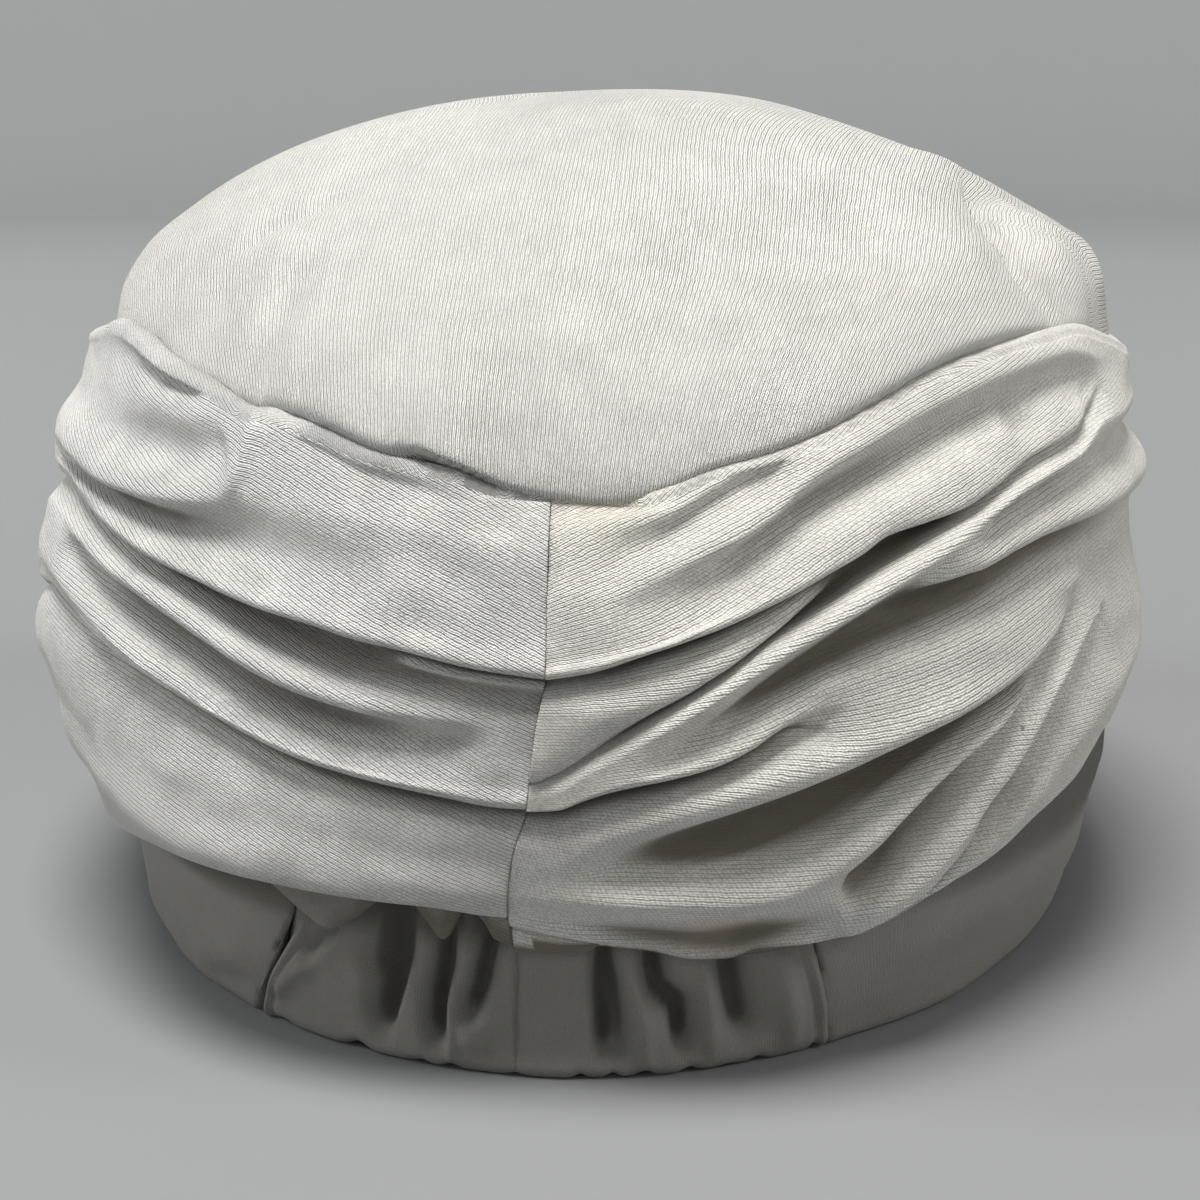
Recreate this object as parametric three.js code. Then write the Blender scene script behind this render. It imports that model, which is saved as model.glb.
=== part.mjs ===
// A pleated jersey turban cap, in millimetres. The rim lies on z = 0, the centre back faces -Y, and
// places round the cap are turns in degrees from the centre back, positive towards the right (+X).
import * as THREE from 'three';

const clothWall = 2;         // doubled jersey
const edgeGap = 0.3;         // between pieces that meet edge to edge
const layerGap = 0.5;        // between the wrap and the cap that it covers
const bandHeight = 38;       // headband and elastic, up to the lower edge of the crown
const rimArch = 2.5;         // how far the rim lifts at each side
const rimRest = 45;          // degrees of rim that lie flat on each side of the centre back and front
const elasticStart = -36;    // turns of the two side seams of the gathered elastic
const elasticEnd = 31;
const wrapStep = 4;          // degrees between sections
const crownStep = 6;
const bandStep = 6;
const gatherStep = 1.6;
const lipTuck = 3;           // how deep the cloth dives under an overhanging pleat
const lipRise = 0.8;         // and how far it climbs behind it
const foldFade = 9;          // degrees over which a fold rises from nothing and dies away
const hemTurn = 0.8;         // height taken by the rounded edges of the wrap

const named = (names, rows) =>
  rows.map(row => Object.fromEntries(names.split(' ').map((name, i) => [name, row[i]])));

// Half sizes of the close-fitting cap: headband, then crown, from the rim to just under the top.
// "round" shapes the back half of each oval: 2 is an ellipse, less is flatter at the corners.
const capRows = named('z left right back front round', [
  [0, 75.5, 77, 92.5, 94, 1.88],
  [12, 77.5, 81.3, 94.5, 95.5, 1.9],
  [28, 80, 84.3, 97.5, 97.5, 1.95],
  [48, 82.5, 85, 100.5, 100, 2],
  [68, 81.5, 84.5, 102, 101, 2],
  [82, 79, 83, 102, 100, 2],
  [91, 77, 82, 97.5, 97, 2],
  [99, 76, 80.5, 89, 92, 2],
  [106, 72, 77, 80, 86, 2],
  [112, 64.5, 68, 71, 78, 2],
  [117, 56.5, 58.5, 63, 70, 2],
  [121.3, 47.5, 47, 54, 61, 2],
  [125, 36, 35.5, 43.5, 50, 2],
  [127.8, 22.5, 24, 30, 35, 2],
  [129, 11, 12, 15, 17, 2],
]);
const crownTop = new THREE.Vector3(2, -2, 129.3);

// Half sizes of the wall that the pleats of the wrap stand on.
const wallRows = named('z left right back front round', [
  [0, 77, 80.5, 97, 98, 1.92],
  [12, 79.5, 84, 99, 100, 1.94],
  [22, 83, 86, 101, 101.5, 1.97],
  [30, 85.7, 87, 103, 103, 2],
  [40, 88, 87.6, 105.5, 105.5, 2],
  [50, 89.4, 87.8, 107.5, 107, 2],
  [62, 88, 87.2, 108.5, 107.5, 2],
  [75, 85.2, 86.4, 107.5, 106, 2],
  [86, 82.6, 84.5, 105, 103.5, 2],
  [98, 79.5, 83, 99, 98, 2],
]);

// Folds of the wrap, from the top edge to the lower edge. "out" is how far a fold stands from the
// wall, "from" and "to" are the turns between which it shows, and each z column is its height at
// that many degrees from the centre back.
const foldTurns = [0, 8, 15, 30, 40, 50, 60, 80, 180];
const foldColumns = 'name kind out from to ' + foldTurns.map(turn => 'z' + turn).join(' ');
const leftFolds = named(foldColumns, [
  ['crest', 'roll', -0.5, 0, 180, 82, 86, 89.5, 93.5, 96.5, 98, 98.5, 97, 95],
  ['hollow', 'dip', -2.5, 26, 78, 76, 80, 83, 88, 89.5, 91, 91, 90, 88],
  ['brow', 'roll', 0.8, 20, 180, 70, 73.5, 76, 81, 81.5, 82.5, 84, 83, 81],
  ['panelLip', 'lip', 1.8, -20, 200, 61, 63.5, 65.5, 69, 71, 72.5, 74, 74, 72],
  ['secondRoll', 'roll', 0.6, -20, 200, 58, 59, 60, 63.5, 66, 68, 70, 70, 66],
  ['secondDip', 'dip', -1.8, 8, 200, 54, 53.6, 54, 60.5, 63, 65, 66.5, 66, 60],
  ['thirdRoll', 'roll', 1.4, -20, 200, 47, 47, 48, 53.5, 56, 59.5, 61.5, 61, 54],
  ['thirdLip', 'lip', 1.4, -20, 200, 43.5, 44.8, 46.5, 51, 54, 57, 58, 57, 50],
  ['belly', 'roll', 1, -20, 200, 36, 37, 38, 40, 41, 41, 40, 37, 38],
  ['hem', 'edge', -1.5, -20, 200, 25.5, 27.3, 27.5, 28, 27.5, 26, 23, 15, 22],
]);
const rightFolds = named(foldColumns, [
  ['crest', 'roll', 0, -20, 200, 82, 81.2, 86, 92, 96, 98, 98, 94, 95],
  ['firstDip', 'dip', -1.8, 6, 110, 72, 72, 73, 86, 92, 95, 94.5, 92.5, 88],
  ['secondRoll', 'roll', 0.8, 10, 110, 67, 67.6, 70, 81, 85, 88, 90.5, 91.2, 82],
  ['panelLip', 'lip', 2, -20, 42, 61, 63.7, 67, 77, 80.5, 84, 88, 90, 74],
  ['fourthRoll', 'roll', 0.8, -20, 34, 57, 58.8, 62, 74.5, 79.8, 83.6, 87, 89.3, 72],
  ['fourthDip', 'dip', -2, 0, 48, 50, 54, 60.5, 73, 79.2, 83.3, 86.3, 88.8, 70],
  ['sharpRoll', 'roll', 2.4, -8, 200, 45.5, 51.5, 59, 72, 79, 82.5, 85.5, 88, 66],
  ['sharpDip', 'dip', -1, 4, 110, 44.5, 49, 55, 68, 76, 79, 81, 82, 63],
  ['forkRoll', 'roll', 1.5, 26, 120, 44, 47, 52, 65, 74, 76, 77, 74, 60],
  ['forkDip', 'dip', -1.8, 4, 100, 43.8, 46.6, 51, 62, 70, 72.5, 73, 71, 56],
  ['sixthLip', 'lip', 1, -20, 27, 43.4, 46, 49, 57, 63, 68, 69.5, 69, 54],
  ['broadRoll', 'roll', 1.8, 4, 200, 41, 43.5, 46.5, 56.5, 59.5, 60.5, 64, 66.5, 52],
  ['eighthRoll', 'roll', 1.8, -20, 64, 38.5, 41, 43.5, 50.5, 54, 59, 62.5, 64.5, 48],
  ['eighthDip', 'dip', -2.6, 3, 90, 36.5, 36.3, 36.5, 45.5, 51.5, 56, 61, 62.5, 44],
  ['ninthRoll', 'roll', 1.2, 0, 200, 34, 33, 31.5, 35, 48.5, 54.8, 59.5, 60.5, 41],
  ['ninthDip', 'dip', -2, 27, 90, 32, 30, 28.5, 28.5, 40, 53.5, 58, 58.5, 38],
  ['tenthRoll', 'roll', 1.2, 27, 90, 30, 27.8, 26, 26.3, 34.5, 50.5, 56.8, 56.5, 35],
  ['tenthDip', 'dip', -1.6, 40, 95, 28.5, 26, 24, 24, 27.5, 45, 55.5, 54, 32],
  ['lastRoll', 'roll', 1.2, 40, 200, 27, 24.5, 22.5, 22, 25, 32, 51, 49, 28],
  ['hem', 'edge', -1.5, -20, 200, 25, 22, 20.5, 20, 22.8, 26, 29.5, 36, 22],
]);

// The centre-back seam of the wrap leans: how many degrees it stands aside at each height.
const seamRows = named('z lean', [[20, -3.4], [26, -3], [44, -0.4], [61, 0.8], [84, 1]]);
const seamReach = 50;        // degrees over which the folds follow the lean

// Soft dents and swells of the crown: place in plan, how far each reaches, and its depth.
const crownDents = named('x y reachX reachY depth', [
  [64, -52, 7, 24, -2],
  [74, -34, 9, 18, 1.6],
  [40, -76, 10, 26, -1.2],
  [-58, -62, 12, 16, -1.8],
  [-30, -84, 12, 14, -0.8],
  [18, -30, 24, 40, 0.8],
]);

// Gathers of the elastic: the turn of each hollow, its half width in degrees and its depth.
const gatherRows = named('turn width depth', [
  [-33.5, 1.8, 1.2], [-28.5, 2.2, 1.8], [-23.5, 1.8, 1.4], [-19, 2, 2.4], [-15, 1.6, 1.8], [-10.5, 1.8, 2.2],
  [-4.6, 0.9, 0.7], [0.6, 1.6, 2], [4, 1.4, 1.6], [8.5, 2, 2], [13.5, 2.2, 1.6], [19, 2.2, 1.8], [25, 2.4, 1.2],
]);

// A curve through rows of values that never swings past them.
function curveAt(places, values, place) {
  const last = places.length - 1;
  if (place <= places[0]) return values[0];
  if (place >= places[last]) return values[last];
  const k = places.findIndex(p => p > place) - 1;
  const slope = i => (values[i + 1] - values[i]) / (places[i + 1] - places[i]);
  const tangent = i => {
    if (i === 0) return slope(0);
    if (i === last) return slope(last - 1);
    const before = slope(i - 1);
    const after = slope(i);
    return before * after > 0 ? (2 * before * after) / (before + after) : 0;
  };
  const span = places[k + 1] - places[k];
  const t = (place - places[k]) / span;
  const rise = t * t * (3 - 2 * t);
  return values[k] * (1 - rise) + values[k + 1] * rise
    + span * (tangent(k) * t * (1 - t) ** 2 - tangent(k + 1) * t * t * (1 - t));
}

const column = (rows, name) => rows.map(row => row[name]);
const rowAt = (rows, name, z) => curveAt(column(rows, 'z'), column(rows, name), z);
const radians = THREE.MathUtils.degToRad;
const smooth = THREE.MathUtils.smoothstep;

// The point at a turn on an oval with the given half sizes, pushed outwards by "out".
function ovalPoint(half, turn, z, out = 0) {
  const sine = Math.sin(radians(turn));
  const cosine = Math.cos(radians(turn));
  const across = sine < 0 ? half.left : half.right;
  const along = cosine > 0 ? half.back : half.front;
  const round = cosine > 0 ? half.round : 2;
  const raised = (value, power) => Math.sign(value) * Math.abs(value) ** power;
  const normalPower = 2 - 2 / round;
  const outward = new THREE.Vector3(
    raised(sine, normalPower) / across, -raised(cosine, normalPower) / along, 0).normalize();
  const edge = new THREE.Vector3(across * raised(sine, 2 / round), -along * raised(cosine, 2 / round), z);
  return edge.addScaledVector(outward, out);
}

function halfSizes(rows, z) {
  const sizes = {};
  for (const name of ['left', 'right', 'back', 'front', 'round']) sizes[name] = rowAt(rows, name, z);
  return sizes;
}

const capPoint = (turn, z, out = 0) => ovalPoint(halfSizes(capRows, z), turn, z, out);
const wallPoint = (turn, z, out = 0) => ovalPoint(halfSizes(wallRows, z), turn, z, out);

// A closed body from its vertices and the triangles between them.
function bodyMesh(name, points, faces, material) {
  const geometry = new THREE.BufferGeometry().setFromPoints(points);
  geometry.setIndex(faces.flat());
  geometry.computeVertexNormals();
  const mesh = new THREE.Mesh(geometry, material);
  mesh.name = name;
  return mesh;
}

// Joins a row of equal closed loops and caps both ends. Each loop runs down its outer side and up
// its inner side, and the loops follow each other towards the right.
function loft(name, loops, material) {
  const size = loops[0].length;
  const faces = [];
  for (let i = 0; i + 1 < loops.length; i++) {
    for (let j = 0; j < size; j++) {
      const a = i * size + j;
      const b = i * size + (j + 1) % size;
      faces.push([a, b, b + size], [a, b + size, a + size]);
    }
  }
  const capOf = loop => {
    const flat = loop.map(point => new THREE.Vector2(Math.hypot(point.x, point.y), point.z));
    return THREE.ShapeUtils.triangulateShape(flat, []);
  };
  const start = (loops.length - 1) * size;
  for (const [a, b, c] of capOf(loops[0])) faces.push([a, b, c]);
  for (const [a, b, c] of capOf(loops.at(-1))) faces.push([start + a, start + c, start + b]);
  return bodyMesh(name, loops.flat(), faces, material);
}

// Turns from one end to the other in equal steps of about the given size.
function turnsBetween(from, to, step) {
  const count = Math.round((to - from) / step);
  return Array.from({ length: count + 1 }, (_, i) => from + ((to - from) * i) / count);
}

// ---- the wrap ----
function foldShare(fold, away) {
  return smooth(away, fold.from, fold.from + foldFade) * (1 - smooth(away, fold.to - foldFade, fold.to));
}

// The outer side of the wrap at a turn, from the top edge down, as heights and stand-outs.
function pleatProfile(folds, away) {
  const profile = [];
  for (const fold of folds) {
    const z = curveAt(foldTurns, foldTurns.map(turn => fold['z' + turn]), away);
    const share = foldShare(fold, away);
    profile.push({ z, out: fold.out * share });
    if (fold.kind === 'lip') {
      profile.push({ z: z - 0.2 + lipRise * share, out: (fold.out - lipTuck) * share });
    }
  }
  return profile;
}

// Heights from the lower edge to the top edge that meet the rows of the cap inside, so that the
// wrap follows its bulge.
function insideHeights(lowest, highest) {
  const levels = column(capRows, 'z').filter(z => z > 20 && z < 95);
  const stepAside = 0.6;
  const rising = levels.map((z, i) => Math.max(z, lowest + stepAside * (i + 1)));
  const held = rising.map((z, i) => Math.min(z, highest - stepAside * (levels.length - i)));
  return [lowest, ...held, highest];
}

function wrapSection(folds, turn) {
  const away = Math.abs(turn);
  const lean = 1 - smooth(away, 0, seamReach);
  const profile = pleatProfile(folds, away);
  const topZ = profile[0].z;
  const hemZ = profile.at(-1).z;
  const leaning = z => turn + rowAt(seamRows, 'lean', z) * lean;
  const outer = profile.map(({ z, out }) => wallPoint(leaning(z), z, out));
  const inner = insideHeights(hemZ + hemTurn, topZ - hemTurn).map(z => capPoint(leaning(z), z, layerGap));
  return [...outer, ...inner];
}

function makeWrap(name, folds, from, to, material) {
  return loft(name, turnsBetween(from, to, wrapStep).map(turn => wrapSection(folds, turn)), material);
}

// ---- the bands of the rim ----
// The rim lies flat behind and in front, and arches up a little at the sides.
function rimLift(turn) {
  const share = (Math.acos(Math.abs(Math.cos(radians(turn)))) - radians(rimRest)) / radians(90 - rimRest);
  return share > 0 ? rimArch * Math.sin((Math.PI / 2) * share) ** 2 : 0;
}

function gatherDepth(turn) {
  const hollows = gatherRows.map(row => row.depth * Math.exp(-(((turn - row.turn) / row.width) ** 2)));
  return hollows.reduce((sum, depth) => sum + depth, 0);
}

// The gathers are deepest at the middle of the elastic and pull its edge up a little.
function bandSection(turn, depth) {
  const shares = [1, 0.75, 0.5, 0.28, 0.08, 0];
  const lowest = rimLift(turn) + 0.3 * depth;
  const heights = shares.map(share => THREE.MathUtils.lerp(lowest, bandHeight, share));
  const pulls = shares.map(share => -depth * Math.sin(Math.PI * (0.12 + 0.76 * share)));
  const outer = heights.map((z, i) => capPoint(turn, z, pulls[i]));
  const inner = heights.map((z, i) => capPoint(turn, z, pulls[i] - clothWall));
  return [...outer, ...inner.reverse()];
}

function makeHeadband(material) {
  const halfGap = radiansGap(75);
  const turns = turnsBetween(elasticEnd + halfGap, elasticStart + 360 - halfGap, bandStep);
  return loft('headband', turns.map(turn => bandSection(turn, 0)), material);
}

function makeElastic(material) {
  const turns = turnsBetween(elasticStart, elasticEnd, gatherStep);
  const seamless = turn => smooth(turn, elasticStart, elasticStart + 2) * (1 - smooth(turn, elasticEnd - 2, elasticEnd));
  return loft('elastic_back', turns.map(turn => bandSection(turn, gatherDepth(turn) * seamless(turn))), material);
}

// The turn that leaves an edge gap at a given radius.
function radiansGap(radius) {
  return THREE.MathUtils.radToDeg(edgeGap / radius) * 1.3;
}

// ---- the crown ----
function dentAt(point) {
  const depths = crownDents.map(dent => {
    const x = (point.x - dent.x) / dent.reachX;
    const y = (point.y - dent.y) / dent.reachY;
    return dent.depth * Math.exp(-(x * x + y * y));
  });
  return depths.reduce((sum, depth) => sum + depth, 0);
}

function makeCrown(material) {
  const firstZ = bandHeight + edgeGap;
  const dentsFrom = 99;      // the dents lie above the wrap
  const dentsFull = 108;
  const rings = [{ z: firstZ, ...halfSizes(capRows, firstZ) }, ...capRows.filter(row => row.z > firstZ)];
  const turns = turnsBetween(0, 360 - crownStep, crownStep);
  const middle = new THREE.Vector3(0, 0, 50);
  const outerRings = rings.map(row => turns.map(turn => {
    const point = ovalPoint(row, turn, row.z);
    const dent = dentAt(point) * smooth(row.z, dentsFrom, dentsFull);
    return point.addScaledVector(point.clone().sub(middle).normalize(), dent);
  }));
  const ringCount = outerRings.length;
  const around = turns.length;
  // Each inner point lies one wall in from its outer point, square to the cloth.
  const inwards = (i, j) => {
    const nextRing = i + 1 < ringCount ? outerRings[i + 1][j] : crownTop;
    const up = nextRing.clone().sub(outerRings[Math.max(i - 1, 0)][j]);
    const along = outerRings[i][(j + 1) % around].clone().sub(outerRings[i][(j + around - 1) % around]);
    return up.cross(along).normalize();
  };
  const innerRings = outerRings.map((ring, i) => ring.map((point, j) => {
    const inner = point.clone().addScaledVector(inwards(i, j), clothWall);
    if (i === 0) inner.z = point.z;
    return inner;
  }));
  const points = [...outerRings.flat(), ...innerRings.flat()];
  const outerPole = points.push(crownTop.clone()) - 1;
  const innerPole = points.push(crownTop.clone().setZ(crownTop.z - clothWall)) - 1;
  const innerStart = ringCount * around;
  const faces = [];
  for (let j = 0; j < around; j++) {
    const next = (j + 1) % around;
    for (let i = 0; i + 1 < ringCount; i++) {
      const a = i * around + j;
      const b = i * around + next;
      faces.push([a, b, b + around], [a, b + around, a + around]);
      faces.push([innerStart + a, innerStart + b + around, innerStart + b]);
      faces.push([innerStart + a, innerStart + a + around, innerStart + b + around]);
    }
    faces.push([j, innerStart + j, innerStart + next], [j, innerStart + next, next]);
    const top = (ringCount - 1) * around;
    faces.push([top + j, top + next, outerPole]);
    faces.push([innerStart + top + next, innerStart + top + j, innerPole]);
  }
  return bodyMesh('crown', points, faces, material);
}

// ---- materials ----
const jersey = (color, roughness) => new THREE.MeshStandardMaterial({ color, roughness, metalness: 0 });
const crownJersey = jersey(0xebebe4, 0.9);
const wrapJersey = jersey(0xdedcd2, 0.92);
const bandJersey = jersey(0xc9c8c2, 0.93);

const seamHalf = radiansGap(108) / 2;
const cap = new THREE.Group();
cap.add(makeCrown(crownJersey));
cap.add(makeWrap('wrap_left', leftFolds, -180 + seamHalf, -seamHalf, wrapJersey));
cap.add(makeWrap('wrap_right', rightFolds, seamHalf, 180 - seamHalf, wrapJersey));
cap.add(makeHeadband(bandJersey));
cap.add(makeElastic(bandJersey));

// The cap stands centred over the origin.
const box = new THREE.Box3().setFromObject(cap);
const centre = box.getCenter(new THREE.Vector3());
cap.position.set(-centre.x, -centre.y, -box.min.z);

export default cap;
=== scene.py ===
# Pleated jersey turban cap. Shapes are worked out in millimetres, with the rim on z = 0 and the centre
# back towards -Y, then set in the frame in metres. Turns are degrees from the centre back, + to the right.
import math

import bmesh
import bpy
import numpy as np
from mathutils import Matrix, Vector, noise


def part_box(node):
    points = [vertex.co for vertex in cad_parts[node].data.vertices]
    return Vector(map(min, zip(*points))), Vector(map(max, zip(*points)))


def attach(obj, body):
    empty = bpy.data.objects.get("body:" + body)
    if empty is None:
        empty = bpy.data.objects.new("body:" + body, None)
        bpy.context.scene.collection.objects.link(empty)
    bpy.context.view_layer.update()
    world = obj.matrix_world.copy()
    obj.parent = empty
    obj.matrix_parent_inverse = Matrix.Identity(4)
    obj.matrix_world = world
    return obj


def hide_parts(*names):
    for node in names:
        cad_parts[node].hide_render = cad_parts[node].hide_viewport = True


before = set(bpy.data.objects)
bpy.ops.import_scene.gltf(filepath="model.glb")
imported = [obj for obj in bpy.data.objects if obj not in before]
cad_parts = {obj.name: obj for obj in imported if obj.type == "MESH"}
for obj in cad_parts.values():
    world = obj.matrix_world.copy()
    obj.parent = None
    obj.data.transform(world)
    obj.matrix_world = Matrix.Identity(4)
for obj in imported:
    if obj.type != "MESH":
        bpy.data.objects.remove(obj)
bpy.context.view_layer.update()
mm = 0.001
weaveSpan = 100       # millimetres of cloth in one unit of the "weave" layer
mergeGap = 1e-6
stepFace = (-2.2, 0.8)      # a step rises between these distances to the left of its line
noiseShift = (7.31, 3.17, 5.93)      # each seed looks at its own part of the noise

# Half sizes of the close-fitting cap from the rim to the top.
capShape = {
    "z": (0, 12, 28, 48, 68, 82, 91, 99, 106, 112, 117, 121.3, 125, 127.8, 129, 129.4),
    "left": (75.5, 77.5, 80, 82.5, 81.5, 79, 77, 76, 72, 64.5, 56.5, 47.5, 36, 22.5, 11, 0.5),
    "right": (77, 81.3, 84.3, 85, 84.5, 83, 82, 80.5, 77, 68, 58.5, 47, 35.5, 24, 12, 0.5),
    "back": (92.5, 94.5, 97.5, 100.5, 102, 102, 97.5, 89, 80, 71, 63, 54, 43.5, 30, 15, 0.5),
    "front": (94, 95.5, 97.5, 100, 101, 100, 97, 92, 86, 78, 70, 61, 50, 35, 17, 0.5),
    "round": (1.88, 1.9, 1.95, 2, 2, 2, 2, 2, 2, 2, 2, 2, 2, 2, 2, 2),
}

# Half sizes of the wall that the pleats stand on.
wallShape = {
    "z": (0, 12, 22, 30, 40, 50, 62, 75, 86, 98),
    "left": (77, 79.5, 83, 85.7, 88, 89.4, 88, 85.2, 82.6, 79.5),
    "right": (80.5, 84, 86, 87, 87.6, 87.8, 87.2, 86.4, 84.5, 83),
    "back": (97, 99, 101, 103, 105.5, 107.5, 108.5, 107.5, 105, 99),
    "front": (98, 100, 101.5, 103, 105.5, 107, 107.5, 106, 103.5, 98),
    "round": (1.92, 1.94, 1.97, 2, 2, 2, 2, 2, 2, 2),
}

# The crown's widest ring is known in the frame, which places everything else.
crownLow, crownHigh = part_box("crown")
widest = {name: max(sizes) for name, sizes in capShape.items()}
offCentre = Vector((widest["right"] - widest["left"], widest["front"] - widest["back"], 0)) / 2 * mm
seat = (crownLow + crownHigh) / 2 - offCentre
seat.z = 0


# The slope where two steps meet, flat where the line turns back.
def slopeBetween(before, after):
    even = before * after > 0
    total = np.where(even, before + after, 1)
    return np.where(even, 2 * before * after / total, 0)


# A curve through values that never swings past them, for many places at once.
def curveAt(places, values, spots):
    places = np.asarray(places, float)
    values = np.asarray(values, float)
    slopes = np.diff(values) / np.diff(places)
    tangents = np.zeros(len(places))
    tangents[0], tangents[-1] = slopes[0], slopes[-1]
    tangents[1:-1] = slopeBetween(slopes[:-1], slopes[1:])
    spots = np.clip(spots, places[0], places[-1])
    k = np.clip(np.searchsorted(places, spots, side="right") - 1, 0, len(places) - 2)
    span = places[k + 1] - places[k]
    t = (spots - places[k]) / span
    rise = t * t * (3 - 2 * t)
    bend = tangents[k] * t * (1 - t) ** 2 - tangents[k + 1] * t * t * (1 - t)
    return values[k] * (1 - rise) + values[k + 1] * rise + span * bend


# The same for a table of (place, value).
def tableAt(table, spots):
    return curveAt(*np.array(table, float).T, spots)


def smooth(value, low, high):
    t = np.clip((value - low) / (high - low), 0, 1)
    return t * t * (3 - 2 * t)


def hump(value, middle, width):
    return np.exp(-(((value - middle) / width) ** 2))


def midway(values):
    return (values[1:] + values[:-1]) / 2


def signedTurn(turn):
    return (turn + 180) % 360 - 180


# How far each point lies along its line of points.
def lengthAlong(points):
    steps = np.diff(points, axis=-2, prepend=points[..., :1, :])
    return np.cumsum(np.linalg.norm(steps, axis=-1), -1)


# Points on a ring of ovals at the given turns and heights, pushed outwards by "out".
def ovalPoint(shape, turn, z, out=0.0):
    turn, z, out = np.broadcast_arrays(np.asarray(turn, float), z, out)
    size = {name: curveAt(shape["z"], shape[name], z) for name in shape if name != "z"}
    sine = np.sin(np.radians(turn))
    cosine = np.cos(np.radians(turn))
    across = np.where(sine < 0, size["left"], size["right"])
    along = np.where(cosine > 0, size["back"], size["front"])
    power = np.where(cosine > 0, size["round"], 2.0)
    raised = lambda value, by: np.sign(value) * np.abs(value) ** by
    normalX = raised(sine, 2 - 2 / power) / across
    normalY = -raised(cosine, 2 - 2 / power) / along
    length = np.hypot(normalX, normalY)
    x = across * raised(sine, 2 / power) + out * normalX / length
    y = -along * raised(cosine, 2 / power) + out * normalY / length
    return np.stack([x, y, z], -1)


def capPoint(turn, z, out=0.0):
    return ovalPoint(capShape, turn, z, out)


def wallPoint(turn, z, out=0.0):
    return ovalPoint(wallShape, turn, z, out)


# Smooth noise at many points; "grain" is the size of its lumps in millimetres along each axis.
def lumps(points, grain, seed):
    flat = (points / np.asarray(grain, float)).reshape(-1, points.shape[-1])
    flat = np.pad(flat, ((0, 0), (0, 3 - flat.shape[1])))
    flat = flat + seed * np.array(noiseShift)
    values = [noise.noise(Vector(p)) for p in flat]
    return np.array(values).reshape(points.shape[:-1])


# Wrinkles of several kinds, each (how long, how tall, how deep).
def wrinkleRelief(places, kinds, seed):
    return sum(lumps(places, (long, tall), seed + k) * deep for k, (long, tall, deep) in enumerate(kinds))


# Each stroke is a line drawn on the cloth, with a cross-section: a "crease" is a groove, a "ridge" is
# a rounded rise and a "step" is cloth that stands proud on the left of the line's direction.
def strokeRelief(places, strokes, degree=1.0):
    relief = np.zeros(places.shape[:-1])
    for kind, depth, width, fade, *line in strokes:
        line = np.array(line, float) * (degree, 1)
        lengths = np.hypot(*np.diff(line, axis=0).T)
        starts = np.concatenate([[0], np.cumsum(lengths)])
        nearest = np.full(relief.shape, 1e9)
        aside = np.zeros(relief.shape)
        along = np.zeros(relief.shape)
        for start, end, length, passed in zip(line[:-1], line[1:], lengths, starts):
            away = places - start
            step = (end - start) / length
            t = np.clip(away @ step, 0, length)
            gap = np.hypot(*np.moveaxis(away - t[..., None] * step, -1, 0))
            side = step[0] * away[..., 1] - step[1] * away[..., 0]
            closer = gap < nearest
            nearest = np.where(closer, gap, nearest)
            aside = np.where(closer, np.sign(side) * gap, aside)
            along = np.where(closer, passed + t, along)
        share = smooth(along, 0, fade) * (1 - smooth(along, starts[-1] - fade, starts[-1]))
        if kind == "crease":
            form = -np.exp(-(nearest / width))
        elif kind == "ridge":
            form = hump(nearest, 0, width)
        else:
            form = smooth(aside, *stepFace) * np.exp(-np.maximum(aside, 0) / width)
        relief += depth * form * share
    return relief


# Soft swells and hollows: place, reach along and across a tilted line, tilt in degrees, height.
def swellRelief(places, swells, degree=1.0):
    relief = np.zeros(places.shape[:-1])
    for first, second, reachAlong, reachAcross, tilt, height in swells:
        cosine, sine = math.cos(math.radians(tilt)), math.sin(math.radians(tilt))
        dx = places[..., 0] - first * degree
        dy = places[..., 1] - second
        along = (dx * cosine + dy * sine) / reachAlong
        across = (dy * cosine - dx * sine) / reachAcross
        relief += height * np.exp(-(along**2 + across**2))
    return relief


def addObject(name, data):
    thing = bpy.data.objects.new(name, data)
    bpy.context.scene.collection.objects.link(thing)
    return thing


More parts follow.
